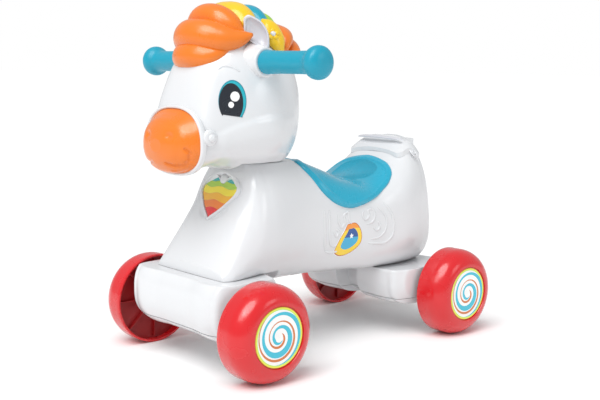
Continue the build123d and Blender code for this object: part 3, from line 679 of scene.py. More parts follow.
def ring_round(table, y_back, y_front, proud):
    """Band round a form: a rounded bar profile carried round the section."""
    section = sections(table, np.array([(y_back + y_front) / 2]), 220)[0]
    centre = section.mean(axis=0)
    out = section - centre
    out /= np.linalg.norm(out, axis=1, keepdims=True)
    angle = np.linspace(0, TURN, 24, endpoint=False)
    across, up = unit_oval(angle, 2.6)
    grid = (
        section[None]
        + out[None] * (up * proud)[:, None, None]
        + np.array([0, 1.0, 0]) * (across * (y_back - y_front) / 2)[:, None, None]
    )
    return np.concatenate([grid, grid[:1]])


def on_form(table, points, way, lift=0.0, extra=None):
    """Points moved along a way until they meet the form's side: repeated substitution of the half width."""
    moved = np.zeros(points.shape[:-1])
    side = 1 if way[0] > 0 else -1
    for _ in range(14):
        here = points + moved[..., None] * way
        target = side_x(table, here[..., 1], here[..., 2])
        if extra is not None:
            target = target + extra(here[..., 1], here[..., 2])
        moved = (side * target - points[..., 0]) / way[0]
    return points + (moved + lift)[..., None] * way


def patch(table, centre, way, outline, thick):
    """Thin plate that lies on a form: rings from the middle to an outline, with a rounded rim.

    Rows of outline are offsets along y and z. The second result is how far out each ring lies, 1 at the edge.
    """
    rings = 40
    reach = np.concatenate([np.linspace(0.02, 0.965, rings), [0.985, 0.996, 1.0, 1.0]])
    lift = np.concatenate([np.full(rings, thick), [thick * 0.92, thick * 0.7, thick * 0.3, -0.0008]])
    flat = np.zeros((len(reach), len(outline), 3))
    flat[..., 0] = centre[0]
    flat[..., 1] = centre[1] + reach[:, None] * outline[None, :, 0]
    flat[..., 2] = centre[2] + reach[:, None] * outline[None, :, 1]
    grid = on_form(table, flat, way) + lift[:, None, None] * way
    return grid, reach


def saddle_grid(size):
    """Saddle: polar grid from the seat's middle to a leaf-shaped rim, lifted off the body's section.

    The rim is a loop in y and angle round the section; lift = skin * rim round + bead + two long ribs.
    """
    near = curve(
        [
            (-33, 90, 0), (-38, 78, 0), (-46, 64, 0), (-45, 53, 0), (-37, 42.5, 0), (-28, 33, 0),
            (-12, 25, 0), (5, 21.7, 0), (24, 22, 0), (48, 27.5, 0), (76, 36, 0), (101, 42, 0),
            (123, 45.6, 0), (134, 50, 0), (140, 58, 0), (143, 69, 0), (146, 83, 0), (147, 90, 0),
        ],
        90,
    )
    far = near[-2:0:-1] * [1, -1, 1] + [0, 180, 0]
    loop = np.concatenate([near, far])
    reach = np.concatenate([np.linspace(0.01, 0.90, 110), np.linspace(0.905, 1.0, 26)])
    middle = np.array([52.0, 90.0])
    y = (middle[0] + (loop[None, :, 0] - middle[0]) * reach[:, None]) * MM
    angle = np.radians(middle[1] + (loop[None, :, 1] - middle[1]) * reach[:, None])
    rows = rows_at(BODY, y)
    across, up = unit_oval(angle, rows[..., 5])
    rise = (1 + up) / 2
    x = across * (rows[..., 3] + (rows[..., 4] - rows[..., 3]) * rise)
    z = rows[..., 1] + (rows[..., 2] - rows[..., 1]) * rise
    grid = np.stack([x, y, z], axis=-1)
    along_ring = np.roll(grid, -1, axis=1) - np.roll(grid, 1, axis=1)
    outward = np.gradient(grid, axis=0)
    normal = np.cross(outward, along_ring)
    normal /= np.linalg.norm(normal, axis=-1, keepdims=True) + 1e-12
    if normal[60, :, 2].mean() < 0:
        normal = -normal
    rim = np.sqrt(np.clip(1 - np.clip((reach - 0.955) / 0.045, 0, 1) ** 2, 0, 1))[:, None]
    bead = size.bead * np.exp(-(((reach - 0.925) / 0.022) ** 2))[:, None]
    lift = size.saddle_skin * rim + bead
    leaf_half = 0.017 * np.clip(1 - ((y - 0.058) / 0.050) ** 2, 0, None) ** 0.8
    inside = step(leaf_half - np.abs(x), 0.0, 0.0035)
    lift = lift + 0.0030 * inside * (1 - reach[:, None] ** 6)
    rib = segment_distance(np.abs(x), y, [(8, -20), (22, 10), (32, 50), (30, 90), (22, 118)])
    lift = lift + 0.0011 * np.exp(-((rib / 0.006) ** 2))
    return grid + normal * (lift - 0.0012 * (1 - rim))[..., None]


def lock_along(points, count, side, centre, sides):
    """Lock of mane: an oval carried along a path round the head's centre, its flat side towards it.

    Rows of points are x, y, z, half width and half height.
    """
    line = curve(np.array(points, float) * MM, count)
    path, radii = line[:, :3] * [side, 1, 1], np.clip(line[:, 3:], 0.0002, None)
    outward = path - np.array(centre)
    outward /= np.linalg.norm(outward, axis=1, keepdims=True)
    return tube(path, radii, outward, sides)


def lock_grid(points):
    """Plump lock over the head, pointed at both ends: rows are given from the middle to the left tip."""
    right = [(-x, y, z, a, b) for x, y, z, a, b in points[:0:-1]]
    return lock_along(right + list(points), 90, 1, (0, -0.130, 0.385), 40)


def side_lock_grid(points, side):
    """Lock on one side only."""
    return lock_along(points, 60, side, (0, -0.100, 0.385), 32)


def housing_grid(rows, centre_y, low, high, soft, step_x):
    """Axle housing: superellipse sections in the side view carried across the horse, cut flat at its seam.

    Where step_x is given, the front face is set back between plus and minus that x.
    """
    table = np.array(rows, float)
    table[:, :4] *= MM
    across = np.linspace(-table[-1, 0], table[-1, 0], 181)
    at = rows_at(table, np.abs(across))
    angle = np.linspace(0, TURN, 150, endpoint=False)[None, :]
    u, v = unit_oval(angle, at[:, 4:5])
    z = (at[:, 2:3] + at[:, 3:4]) / 2 + v * (at[:, 3:4] - at[:, 2:3]) / 2
    for level, beyond in ((low, z < low), (high, z > high)):
        share = np.clip(np.abs((2 * level - at[:, 2:3] - at[:, 3:4]) / (at[:, 3:4] - at[:, 2:3])), 0, 1)
        reach = (1 - share ** at[:, 4:5]) ** (1 / at[:, 4:5])
        u = np.where(beyond, np.clip(u, -reach, reach), u)
    y = centre_y + u * at[:, 1:2]
    x = np.broadcast_to(across[:, None], y.shape)
    grid = np.stack([x, y, z], axis=-1)
    turn = np.linspace(0, math.pi / 2, 9)[1:-1, None, None]
    ends = []
    for ring, way in ((grid[0], -1), (grid[-1], 1)):
        centre = ring.mean(axis=0)
        ends.append(centre + (ring - centre) * np.cos(turn) + np.array([way * 0.004, 0, 0]) * np.sin(turn))
    grid = np.concatenate([ends[0][::-1], grid, ends[1]])
    if step_x is not None:
        middle = 1 - step(np.abs(grid[..., 0]), step_x, step_x + 0.004)
        front = step(centre_y - grid[..., 1], 0.0, 0.02)
        grid[..., 1] += 0.024 * middle * front
    grid[..., 2] = ceiling_at(grid[..., 2], high, soft)
    grid[..., 2] = floor_at(grid[..., 2], low, soft)
    return grid


# ---- Operators -----------------------------------------------------------------------------------
def linked(name, data, place=(0, 0, 0), heading=None):
    """Object of the scene at a place, turned so that its -Z points along a heading."""
    made = bpy.data.objects.new(name, data)
    made.location = place
    if heading is not None:
        made.rotation_mode = "QUATERNION"
        made.rotation_quaternion = Vector(heading).to_track_quat("-Z", "Y")
    bpy.context.scene.collection.objects.link(made)
    return made


class HORSE_OT_stage(bpy.types.Operator):
    """Floor, soft lights, plain surroundings and the camera"""

    bl_idname = "horse.stage"
    bl_label = "Stage"

    def execute(self, context):
        scene = context.scene
        scene.view_settings.view_transform = "Standard"
        world = bpy.data.worlds.new("plain")
        world.use_nodes = True
        tree = world.node_tree
        backdrop = tree.nodes["Background"]
        backdrop.inputs[0].default_value = (1, 1, 1, 1)
        backdrop.inputs[1].default_value = 1.0
        ambient = tree.nodes.new("ShaderNodeBackground")
        ambient.inputs[0].default_value = (0.97, 0.985, 1.0, 1)
        ambient.inputs[1].default_value = 0.56
        ray = tree.nodes.new("ShaderNodeLightPath")
        blend = tree.nodes.new("ShaderNodeMixShader")
        tree.links.new(ray.outputs["Is Camera Ray"], blend.inputs[0])
        tree.links.new(ambient.outputs[0], blend.inputs[1])
        tree.links.new(backdrop.outputs[0], blend.inputs[2])
        tree.links.new(blend.outputs[0], tree.nodes["World Output"].inputs[0])
        scene.world = world
        mesh = bpy.data.meshes.new("floor")
        reach = 40.0
        corners = [(-reach, -reach, 0), (reach, -reach, 0), (reach, reach, 0), (-reach, reach, 0)]
        mesh.from_pydata(corners, [], [(0, 1, 2, 3)])
        nodes = Nodes("floor_paper")
        nodes.shader.inputs["Base Color"].default_value = (0.96, 0.96, 0.955, 1)
        nodes.shader.inputs["Roughness"].default_value = 0.9
        nodes.shader.inputs["Specular IOR Level"].default_value = 0.0
        mesh.materials.append(nodes.material)
        linked("floor", mesh)
        data = bpy.data.lights.new("sky_key", "SUN")
        data.energy = 1.95
        data.angle = math.radians(40)
        linked("sky_key", data, heading=(-0.25, 0.55, -1.0))
        lights = (
            ("key", (0.3, -1.7, 1.5), 0.9, 7.0),
            ("fill", (2.2, 0.9, 1.2), 0.8, 4.0),
        )
        for name, place, width, power in lights:
            data = bpy.data.lights.new(name, "AREA")
            data.shape = "SQUARE"
            data.size = width
            data.energy = power
            linked(name, data, place, Vector((0, 0, 0.25)) - Vector(place))
        yaw, pitch, roll = math.radians(47.801), math.radians(7.898), math.radians(0.693)
        ahead = Vector((-math.sin(yaw) * math.cos(pitch), math.cos(yaw) * math.cos(pitch), -math.sin(pitch)))
        right = Vector((math.cos(yaw), math.sin(yaw), 0))
        up = right.cross(ahead)
        turned_right = right * math.cos(roll) + up * math.sin(roll)
        turned_up = up * math.cos(roll) - right * math.sin(roll)
        data = bpy.data.cameras.new("camera")
        data.lens = 58.69
        data.sensor_width = 36.0
        data.clip_end = 100
        camera = linked("camera", data)
        place = Matrix((turned_right, turned_up, -ahead)).transposed().to_4x4()
        place.translation = (1.1086, -1.0118, 0.4246)
        camera.matrix_world = place
        scene.camera = camera
        return {"FINISHED"}


class HORSE_OT_palette(bpy.types.Operator):
    """The plastics that several pieces share"""

    bl_idname = "horse.palette"
    bl_label = "Palette"

    def execute(self, context):
        look = context.scene.horse_colours
        matt = {"rough": 0.45, "coat": 0.0, "grain": 0.3}
        shell = {"rough": 0.30, "coat": 0.25, "peel": 0.08}
        plastics = {
            "white": ("white_plastic", look.white, {"rough": 0.20, "peel": 0.05, "tone": 0.012}),
            "orange": ("orange_plastic", look.orange, {**shell, "grain": 0.05}),
            "yellow": ("yellow_plastic", look.yellow, {**shell, "grain": 0.05}),
            "teal": ("teal_grip", look.teal, {"rough": 0.42, "coat": 0.1, "peel": 0.05, "grain": 0.35}),
            "teal_lock": ("teal_plastic", look.teal, shell),
            "green": ("green_plastic", look.green, shell),
            "saddle": ("saddle_plastic", look.saddle, {"rough": 0.24, "coat": 0.4, "grain": 0.05}),
            "red": ("red_wheel_plastic", look.red, {"rough": 0.24, "coat": 0.5, "peel": 0.07, "grain": 0.03}),
            "dark_red": (
                "dark_red_plastic", look.dark_red, {"rough": 0.4, "coat": 0.1, "peel": 0.05, "grain": 0.2}
            ),
            # Pale grey: the ears' colour; the rump stripe uses it as painted shade of the finger slot's inner
            # wall.
            "ear": (
                "pale_grey_ear_and_painted_shade", (0.60, 0.60, 0.64),
                {"rough": 0.25, "coat": 0.3, "peel": 0.05, "tone": 0.03},
            ),
            "grey": ("inner_grey_plastic", (0.45, 0.45, 0.46), matt),
            "black": ("black_plastic", (0.02, 0.02, 0.022), {**matt, "rough": 0.4}),
            "board": ("circuit_board", (0.01, 0.12, 0.04), {"rough": 0.35, "coat": 0.2}),
        }
        for key, (name, colour, values) in plastics.items():
            PALETTE[key] = plastic(name, colour, **values)
        PALETTE["heart"] = heart_print("heart_print")
        PALETTE["eye"] = eye_print("eye_print")
        PALETTE["badge"] = badge_print("badge_print")
        PALETTE["hub_front"] = hub_print("hub_print_front", FRONT_AXLE_Y)
        PALETTE["hub_rear"] = hub_print("hub_print_rear", REAR_AXLE_Y)
        PALETTE["steel"] = metal("drawn_steel", (0.60, 0.61, 0.63), 0.28, brushed=1.0)
        PALETTE["zinc"] = metal("zinc_plate", (0.66, 0.66, 0.64), 0.35)
        return {"FINISHED"}


class HORSE_OT_carried(bpy.types.Operator):
    """Finishes on the pieces that keep their own shape, seen and unseen"""

    bl_idname = "horse.carried"
    bl_label = "Carried pieces"

    def execute(self, context):
        finishes = {
            "handlebar_tube": "steel", "front_axle": "steel", "rear_axle": "steel", "axle_washers": "zinc",
            "push_nuts": "steel", "cover_screws": "zinc", "leg_screws": "zinc", "door_screw": "zinc",
            "batteries": "zinc", "battery_box": "grey", "battery_door": "grey", "switch_body": "black",
            "power_switch": "black", "heart_chamber": "grey", "sound_board": "board", "press_switch": "black",
            "speaker": "black", "neck_collar": "white",
        }
        for name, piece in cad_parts.items():
            key = finishes.get(name)
            if key is None:
                key = "dark_red" if name.endswith("_plate") else "white"
            piece.data.materials.clear()
            piece.data.materials.append(PALETTE[key])
        return {"FINISHED"}


class HORSE_OT_body(bpy.types.Operator):
    """Body skin, the flank's moulded blanket and the badge"""

    bl_idname = "horse.body"
    bl_label = "Body"

    def execute(self, context):
        size = settings()
        put("body", body_grid(size), PALETTE["white"], "body", hides=["body_shell"], crease=50)
        lines = [
            ([(-26, 212), (-25, 190), (-24, 165), (-22, 150)], 1.6),
            ([(-17, 212), (-16, 190), (-15, 168), (-12, 158), (0, 155)], 1.4),
            ([(-22, 150), (-10, 146), (2, 147)], 1.6),
            ([(94, 214), (108, 196), (112, 176), (108, 160), (96, 152), (76, 152), (60, 154)], 1.6),
            ([(80, 208), (92, 198), (98, 184), (94, 170), (84, 162), (66, 160)], 1.3),
            ([(0, 205), (2, 190), (8, 183), (14, 190), (12, 201), (20, 205), (22, 192), (28, 186)], 1.6),
            ([(52, 206), (48, 198), (54, 191), (62, 196), (60, 204), (68, 206), (74, 196), (68, 186),
              (56, 184)], 1.6),
            ([(-8, 178), (-2, 170), (2, 176), (-3, 182)], 1.5),
            ([(70, 178), (78, 172), (84, 178), (80, 186)], 1.4),
        ]
        grids = []
        for side in (-1, 1):
            way = np.array([side, 0.0, 0.0])
            for points, half in lines:
                path = curve([(0, y, z) for y, z in points], 70) * MM
                path = on_form(BODY, path, way)
                ends = np.sqrt(np.clip(1 - np.abs(np.linspace(-1, 1, 70)) ** 8, 0.0004, 1))
                radii = np.stack([ends * half * 1.4, ends * size.relief * 1000], axis=1) * MM
                grids.append(tube(path, radii, way, 14))
        joined("flank_relief", grids, PALETTE["white"], "body")
        shield = curve(
            [(-8, 22, 0), (8, 23, 0), (20, 8, 0), (20, -8, 0), (8, -20, 0), (-22, -27, 0), (-30, -22, 0),
             (-24, -2, 0), (-14, 12, 0), (-8, 22, 0)],
            161,
        )[:-1, :2]
        for side, word in ((1, "left"), (-1, "right")):
            grid, reach = patch(BODY, (0, 0.0262, 0.1655), np.array([side, 0.0, 0.0]), shield * MM, 0.0007)
            flat = shield / [24, 26]
            uv = reach[:, None, None] * (flat / np.linalg.norm(flat, axis=1, keepdims=True))[None]
            put(f"badge_{word}", grid, PALETTE["badge"], "body", hides=[f"flank_badge_{word}"], uv=uv)
        return {"FINISHED"}


class HORSE_OT_head(bpy.types.Operator):
    """Head skin, brow lines, eyes, noseband, bridle buttons and muzzle"""

    bl_idname = "horse.head"
    bl_label = "Head"

    def execute(self, context):
        size = settings()
        put("head", head_grid(size), PALETTE["white"], "body", hides=["head_shell"], crease=50)
        put("muzzle_skin", muzzle_grid(), PALETTE["orange"], "body", hides=["muzzle"])
        band = in_metres([(-243, 274, 363, 67, 62, 2.4), (-235, 273, 368, 70, 60, 2.4)])
        put("noseband_ring", ring_round(band, -0.2345, -0.2435, 0.0026), PALETTE["white"], "body",
            hides=["noseband"], ends=False)
        outline = np.linspace(0, TURN, 160, endpoint=False)
        for side, word in ((1, "left"), (-1, "right")):
            way = np.array([0.83 * side, -0.55, 0])
            way /= np.linalg.norm(way)
            tangent = np.array([0.55 * side, 0.83, 0])
            tangent /= np.linalg.norm(tangent)
            cut = np.where(np.sin(outline) < -0.70, -0.70 - 0.10 * np.cos(outline), np.sin(outline))
            reach = np.concatenate([np.linspace(0.02, 0.965, 50), [0.985, 0.996, 1.0, 1.0]])
            lift = np.concatenate([np.full(50, 0.0006), [0.00055, 0.0004, 0.0002, -0.0008]])
            u = reach[:, None] * np.cos(outline)[None]
            v = reach[:, None] * cut[None]
            flat = (
                EYE_CENTRE * [side, 1, 1]
                + (u * EYE_HALF[0])[..., None] * tangent
                + (v * EYE_HALF[1])[..., None] * np.array([0, 0, 1.0])
            )
            grid = on_form(HEAD, flat, way, extra=lambda y, z: cheek_lift(size, y, z))
            grid = grid + lift[:, None, None] * way
            uv = np.stack([u, v], axis=-1)
            put(f"eye_print_{word}", grid, PALETTE["eye"], "body", hides=[f"eye_{word}"], uv=uv)
        grids = []
        for side in (-1, 1):
            way = np.array([side, 0.0, 0.0])
            path = curve([(0, -206, 416), (0, -199, 421), (0, -189, 420), (0, -181, 414)], 50) * MM
            path = on_form(HEAD, path, way)
            ends = np.sqrt(np.clip(1 - np.abs(np.linspace(-1, 1, 50)) ** 3, 0.0004, 1))
            grids.append(tube(path, np.stack([ends * 1.6, ends * 1.3], axis=1) * MM, way, 14))
        joined("brow_lines", grids, PALETTE["white"], "body")
        profile = rounded(
            [(54, 11.2), (68.2, 11.2), (70.0, 9.0), (70.6, 6.2), (70.2, 5.6), (73.4, 5.2), (75, 0.2)], 1.6
        )
        for side, word in ((1, "left"), (-1, "right")):
            grid = turned(profile, STUD_Y, STUD_Z, 72) * [side, 1, 1]
            put(f"bridle_stud_{word}", grid, PALETTE["white"], "body", hides=[f"bridle_button_{word}"])
        return {"FINISHED"}


class HORSE_OT_ears(bpy.types.Operator):
    """Ears: leaf-shaped cups with a thick rim"""

    bl_idname = "horse.ears"
    bl_label = "Ears"

    def execute(self, context):
        loop = curve(
            [(-17.5, -4.4, 0), (-17.8, 9, 0), (-17, 21, 0), (-13, 24, 0), (-2.8, 21, 0), (8, 13.5, 0),
             (14.6, 3.6, 0), (17.8, -9.8, 0), (16, -22, 0), (11.7, -24, 0), (6, -22.5, 0), (-4, -15, 0),
             (-12, -9, 0), (-17.5, -4.4, 0)],
            121,
        )[:-1, :2] * MM
        reach = np.concatenate([np.linspace(0.02, 0.80, 24), np.linspace(0.82, 1.0, 16)])
        cup = -0.0055 * (1 - (reach / 0.80).clip(0, 1) ** 3)
        rim = 0.0022 * np.sqrt(np.clip(1 - np.clip((reach - 0.90) / 0.10, -1, 1) ** 2, 0, 1))
        front = np.zeros((len(reach), len(loop), 3))
        front[..., 0] = reach[:, None] * loop[None, :, 0]
        front[..., 1] = -(cup + rim)[:, None]
        front[..., 2] = reach[:, None] * loop[None, :, 1]
        back_reach = np.linspace(1.0, 0.02, 24)
        back = np.zeros((len(back_reach), len(loop), 3))
        back[..., 0] = back_reach[:, None] * loop[None, :, 0]
        back[..., 1] = 0.0075 * np.sqrt(np.clip(1 - back_reach**2, 0, 1))[:, None] + 0.0008
        back[..., 2] = back_reach[:, None] * loop[None, :, 1]
        grid = np.concatenate([front, back])
        lean = Matrix.Rotation(math.radians(44), 3, "Z") @ Matrix.Rotation(math.radians(-6), 3, "X")
        grid = grid @ np.array(lean.transposed())
        for side, word in ((1, "left"), (-1, "right")):
            placed = (grid + EAR_PLACE) * [side, 1, 1]
            put(f"ear_cup_{word}", placed, PALETTE["ear"], "body", hides=[f"ear_{word}"])
        return {"FINISHED"}


class HORSE_OT_mane(bpy.types.Operator):
    """Locks of the mane, from the forelock to the back, and the flower panels"""

    bl_idname = "horse.mane"
    bl_label = "Mane"

    def execute(self, context):
        orange = [
            [(0, -211, 435, 20, 19), (16, -209, 435, 20, 18), (31, -203, 435, 17, 14), (42, -193, 438, 10, 9),
             (49, -184, 442, 3, 3)],
            [(0, -203, 461, 23, 25), (20, -198, 460, 24, 24), (38, -187, 458, 22, 19),
             (52, -174, 458, 15, 13), (62, -164, 461, 8, 7), (68, -158, 464, 2, 2)],
            [(0, -180, 486, 20, 21), (18, -178, 484, 20, 20), (35, -173, 477, 18, 16),
             (46, -169, 471, 12, 11), (54, -166, 466, 5, 5), (58, -165, 463, 2, 2)],
        ]
        grids = [lock_grid(rows) for rows in orange]
        joined("forelock_locks", grids, PALETTE["orange"], "body", hides=["forelock"])
        crest = [(0, -149, 486, 25, 25), (20, -148, 484, 25, 24), (36, -148, 477, 20, 19),
                 (47, -151, 470, 13, 12), (51, -153, 466, 4, 4)]
        put("crest", lock_grid(crest), PALETTE["yellow"], "body", hides=["crest_lock"])
        teal = [(0, -122, 486, 19, 22), (20, -121, 484, 18, 21), (38, -121, 476, 13, 15),
                (50, -124, 468, 7, 8), (56, -126, 462, 2.5, 2.5)]
        put("teal_band", lock_grid(teal), PALETTE["teal_lock"], "body", hides=["teal_lock"])
        green = [(0, -103, 479, 17, 20), (20, -103, 477, 16, 19), (38, -106, 471, 12, 14),
                 (50, -110, 464, 7, 8), (56, -113, 458, 2.5, 2.5)]
        put("green_band", lock_grid(green), PALETTE["green"], "body", hides=["green_lock"])
        rear = [
            [(0, -72, 462, 21, 22), (20, -74, 461, 20, 20), (38, -80, 459, 16, 17), (52, -88, 452, 10, 12),
             (60, -92, 444, 4, 5)],
            [(0, -56, 446, 18, 20), (18, -58, 446, 18, 19), (34, -62, 443, 16, 16), (48, -68, 436, 11, 12),
             (58, -74, 428, 4, 5)],
        ]
        grids = [lock_grid(rows) for rows in rear]
        joined("rear_locks", grids, PALETTE["orange"], "body", hides=["rear_mane"])
        panel = [(44, -124, 484, 3, 4), (52, -119, 477, 12, 9), (60, -116, 466, 15, 9),
                 (66, -112, 453, 13, 8), (70, -108, 441, 4, 4)]
        joined("flower_panels", [side_lock_grid(panel, side) for side in (-1, 1)], PALETTE["yellow"], "body")
        flowers = []
        dots = []
        for side in (-1, 1):
            centre = np.array([67.5 * side, -122, 465.5]) * MM
            out = np.array([0.80 * side, -0.42, 0.42])
            out /= np.linalg.norm(out)
            first = np.cross(out, [0, 0, 1.0])
            first /= np.linalg.norm(first)
            second = np.cross(first, out)
            for k in range(5):
                turn = TURN * (k / 5 + 0.05)
                middle = centre + (first * math.cos(turn) + second * math.sin(turn)) * 0.0058
                flowers.append(button_grid(middle, out, first, second, 0.0036, 0.0022))
            dots.append(button_grid(centre + out * 0.0012, out, first, second, 0.0038, 0.0026))
        joined("flower_petals", flowers, PALETTE["yellow"], "body")
        joined("flower_dots", dots, PALETTE["white"], "body")
        return {"FINISHED"}


def button_grid(centre, out, first, second, radius, height):
    """Domed button: rings of a half ellipsoid about a centre, closed underneath."""
    turn = np.linspace(0.06, math.pi - 0.06, 14)[:, None, None]
    angle = np.linspace(0, TURN, 28, endpoint=False)[None, :, None]
    return (
        centre
        + out * height * np.cos(turn)
        + radius * np.sin(turn) * (first * np.cos(angle) + second * np.sin(angle))
    )


class HORSE_OT_saddle(bpy.types.Operator):
    """Saddle with its rim bead and middle leaf"""

    bl_idname = "horse.saddle"
    bl_label = "Saddle"

    def execute(self, context):
        put("saddle_skin", saddle_grid(settings()), PALETTE["saddle"], "body", hides=["saddle"])
        return {"FINISHED"}


class HORSE_OT_heart(bpy.types.Operator):
    """Heart button and its raised rim"""

    bl_idname = "horse.heart"
    bl_label = "Heart"

    def execute(self, context):
        loop = heart_loop(200, HEART_HALF)
        middle = np.array([0, 0.12]) * HEART_HALF
        reach = np.concatenate([np.linspace(0.01, 0.94, 120), [0.965, 0.982, 0.993, 1.0, 1.0]])
        u = middle[0] + (loop[None, :, 0] - middle[0]) * reach[:, None]
        v = middle[1] + (loop[None, :, 1] - middle[1]) * reach[:, None]
        edge = np.concatenate([np.zeros(120), [0.0001, 0.0004, 0.0009, 0.0018, 0.006]])[:, None]
        wave = -HEART_WAVE * np.cos(np.abs(u / HEART_HALF) * HEART_WAVES)
        height = v / HEART_HALF + wave
        borders = (-0.418, -0.112, 0.176, 0.446, 0.698)
        steps = sum(step(height, place - 0.02, place + 0.02) for place in borders)
        out = 0.0022 - edge - 0.00055 * steps + 0.0012 * (1 - reach[:, None] ** 2)
        uv = np.stack([u, v], axis=-1) / HEART_HALF
        grid = from_heart_frame(u, v, out)
        put("heart_face", grid, PALETTE["heart"], "heart_button", hides=["heart_button"], uv=uv)
        profile = rounded([(0.55, -9), (0.55, 1.6), (1.4, 3.0), (4.0, 3.0), (5.2, 1.4), (6.4, -9)], 1.2, 6)
        rings = []
        for grow, rise in profile:
            scale = 1 + grow * MM / HEART_HALF
            rings.append(from_heart_frame(loop[:, 0] * scale, (loop[:, 1] - middle[1]) * scale + middle[1],
                                          np.full(len(loop), rise * MM)))
        ring = np.stack(rings + rings[:1])
        put("heart_rim", ring, PALETTE["white"], "body", hides=["heart_bezel"], ends=False)
        out_way = np.array([0, -math.cos(HEART_LEAN), math.sin(HEART_LEAN)])
        up_way = np.array([0, math.sin(HEART_LEAN), math.cos(HEART_LEAN)])
        centre = HEART_CENTRE + up_way * 0.83 * HEART_HALF
        tab = button_grid(centre, out_way, np.array([1.0, 0, 0]), up_way, 0.0085, 0.0045)
        put("heart_tab", tab, PALETTE["white"], "body")
        return {"FINISHED"}


class HORSE_OT_handlebar(bpy.types.Operator):
    """Grips with their knobs and the flared sockets in the head"""

    bl_idname = "horse.handlebar"
    bl_label = "Handlebar"

    def execute(self, context):
        grip = rounded(
            [(80, 8), (80, 15.0), (83, 16.6), (92, 16.0), (110, 15.4), (150, 15.2), (166, 15.4),
             (172, 16.6), (178, 21.2), (184, 22.6), (191, 21.6), (196, 16), (198, 8), (198.3, 0.3)],
            5.0, 6,
        )
        socket = rounded(
            [(60, 8), (60, 29), (68, 25), (76, 21.5), (80.5, 20.5), (82, 18.5), (81, 14), (76, 8.5)], 3.0, 6
        )
        for side, word in ((1, "left"), (-1, "right")):
            put(f"grip_skin_{word}", turned(grip, BAR_Y, BAR_Z) * [side, 1, 1], PALETTE["teal"], "body",
                hides=[f"grip_{word}"])
            put(f"socket_skin_{word}", turned(socket, BAR_Y, BAR_Z) * [side, 1, 1], PALETTE["white"], "body",
                hides=[f"grip_socket_{word}"])
        return {"FINISHED"}


class HORSE_OT_wheels(bpy.types.Operator):
    """Wheel shells and their printed hub discs"""

    bl_idname = "horse.wheels"
    bl_label = "Wheels"

    def execute(self, context):
        angle = np.linspace(0, math.pi / 2, 24)
        outer = [(139 + 29 * math.sin(a), 44 + 24 * math.cos(a)) for a in angle]
        inner = [(139 + 25.5 * math.sin(a), 44 + 20.5 * math.cos(a)) for a in angle[::-1]]
        shell = (
            [(119.4, 64.5), (119.0, 65.0), (119.0, 66.8), (119.4, 67.6), (120.4, 68.0), (126, 68.0),
             (133, 68.0)]
            + outer
            + [(168, 42.9), (167.4, 42.5), (165.4, 42.4), (165.2, 42.0), (165.2, 13.4), (164.8, 13),
               (156.6, 13), (156.2, 12.6), (156.2, 5.1), (123, 5.1), (123, 10.08), (152.7, 10.08),
               (152.7, 16.5), (161.7, 16.5), (161.7, 41)]
            + inner
            + [(133, 64.5), (119.4, 64.5)]
        )
        disc = rounded(
            [(165.0, 0.3), (166.3, 0.5), (166.4, 40.6), (165.9, 41.0), (165.0, 41.0), (165.0, 0.3)], 0.3, 4
        )
        for end, axle_y in (("front", FRONT_AXLE_Y), ("rear", REAR_AXLE_Y)):
            for side, word in ((1, "left"), (-1, "right")):
                wheel = f"wheel_{end}_{word}"
                skin = turned(shell, axle_y, AXLE_Z, 160) * [side, 1, 1]
                hidden = [f"{wheel}_shell"]
                put(f"{wheel}_skin", skin, PALETTE["red"], wheel, hides=hidden, ends=False, crease=40)
                face = turned(disc, axle_y, AXLE_Z, 128) * [side, 1, 1]
                put(f"{wheel}_disc", face, PALETTE[f"hub_{end}"], wheel, hides=[f"{wheel}_cap"], crease=40)
        return {"FINISHED"}


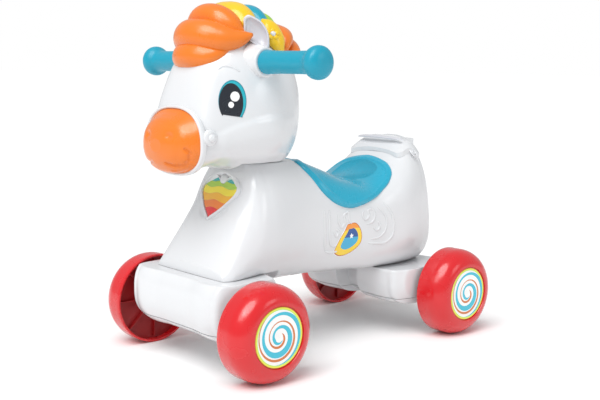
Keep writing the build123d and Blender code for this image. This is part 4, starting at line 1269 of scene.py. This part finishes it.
class HORSE_OT_housings(bpy.types.Operator):
    """Axle housings, their under covers and the rump's crest: a grey stripe of painted shade and moulded
    curls
    """

    bl_idname = "horse.housings"
    bl_label = "Housings"

    def execute(self, context):
        size = settings()
        soft = size.seam_round * 0.5
        front = [(0, 57, 45, 146, 2.7), (30, 57, 45, 146, 2.7), (88, 57, 46, 146, 2.7),
                 (102, 51, 50, 140, 2.6), (108, 38, 56, 126, 2.5)]
        rear = [(0, 69, 46, 134, 2.7), (30, 69, 46, 134, 2.7), (88, 69, 47, 134, 2.7),
                (102, 64, 50, 128, 2.6), (108, 52, 58, 118, 2.5)]
        cover_seam = 60 * MM
        places = (
            ("front", front, -0.190, FRONT_SEAM, None),
            ("rear", rear, 0.167, REAR_SEAM, 0.020),
        )
        for end, rows, centre_y, seam, step_x in places:
            gap = size.seam_gap * 0.4
            upper = housing_grid(rows, centre_y, cover_seam + gap, seam - size.seam_gap, soft, step_x)
            put(f"{end}_housing", upper, PALETTE["white"], "body", hides=[f"{end}_axle_housing"], crease=50)
            lower = housing_grid(rows, centre_y, 0.0, cover_seam - gap, soft, step_x)
            put(f"{end}_cover", lower, PALETTE["white"], "body", hides=[f"{end}_axle_cover"], crease=50)
        # Grey stripe across the top of the rump: painted shade, a grey tube standing in for the shaded inner
        # wall of the finger slot.
        across = np.linspace(-50, 50, 60)
        path = np.stack([across, 160 + 0.004 * across**2, 309 - 0.0012 * across**2], axis=1) * MM
        ends = np.sqrt(np.clip(1 - np.abs(across / 50) ** 6, 0.001, 1))
        shade_stripe = tube(path, np.stack([ends * 3.4, ends * 1.6], axis=1) * MM, np.array([0, -0.5, 0.86]), 20)
        put("rump_painted_shade_stripe", shade_stripe, PALETTE["ear"], "body")
        curls = []
        for side in (-1, 1):
            turn = np.linspace(0.5, 2.4 * TURN, 120)
            grow = 0.9 + turn * 0.62
            y, z = 186 + grow * np.cos(turn), 287 + grow * np.sin(turn)
            flat = np.stack([np.zeros(120), y, z], axis=1) * MM
            path = on_form(BODY, flat, np.array([side, 0.0, 0.0]), lift=0.0055)
            radii = np.stack([np.full(120, 1.3), np.full(120, 1.2)], axis=1) * MM
            curls.append(tube(path, radii, np.array([side, 0.0, 0.0]), 12))
        joined("rump_curls", curls, PALETTE["white"], "body")
        return {"FINISHED"}


class HORSE_PT_panel(bpy.types.Panel):
    """Lists the pieces in the sidebar"""

    bl_idname = "HORSE_PT_panel"
    bl_label = "Ride-on horse"
    bl_space_type = "VIEW_3D"
    bl_region_type = "UI"
    bl_category = "Horse"

    def draw(self, context):
        layout = self.layout
        for group in (context.scene.horse_colours, context.scene.horse_sizes):
            for key in group.__annotations__:
                layout.prop(group, key)
        for operator in OPERATORS:
            layout.operator(operator.bl_idname)


OPERATORS = (
    HORSE_OT_stage,
    HORSE_OT_palette,
    HORSE_OT_carried,
    HORSE_OT_body,
    HORSE_OT_head,
    HORSE_OT_ears,
    HORSE_OT_mane,
    HORSE_OT_saddle,
    HORSE_OT_heart,
    HORSE_OT_handlebar,
    HORSE_OT_wheels,
    HORSE_OT_housings,
)
CLASSES = (HorseColours, HorseSizes, *OPERATORS, HORSE_PT_panel)


def register():
    """Registers the classes and their settings."""
    for made in CLASSES:
        bpy.utils.register_class(made)
    bpy.types.Scene.horse_colours = PointerProperty(type=HorseColours)
    bpy.types.Scene.horse_sizes = PointerProperty(type=HorseSizes)


def unregister():
    """Removes the classes and their settings."""
    del bpy.types.Scene.horse_sizes
    del bpy.types.Scene.horse_colours
    for made in reversed(CLASSES):
        bpy.utils.unregister_class(made)


def main():
    """Builds every piece."""
    register()
    for operator in OPERATORS:
        group, name = operator.bl_idname.split(".")
        getattr(getattr(bpy.ops, group), name)()


if __name__ == "__main__":
    main()
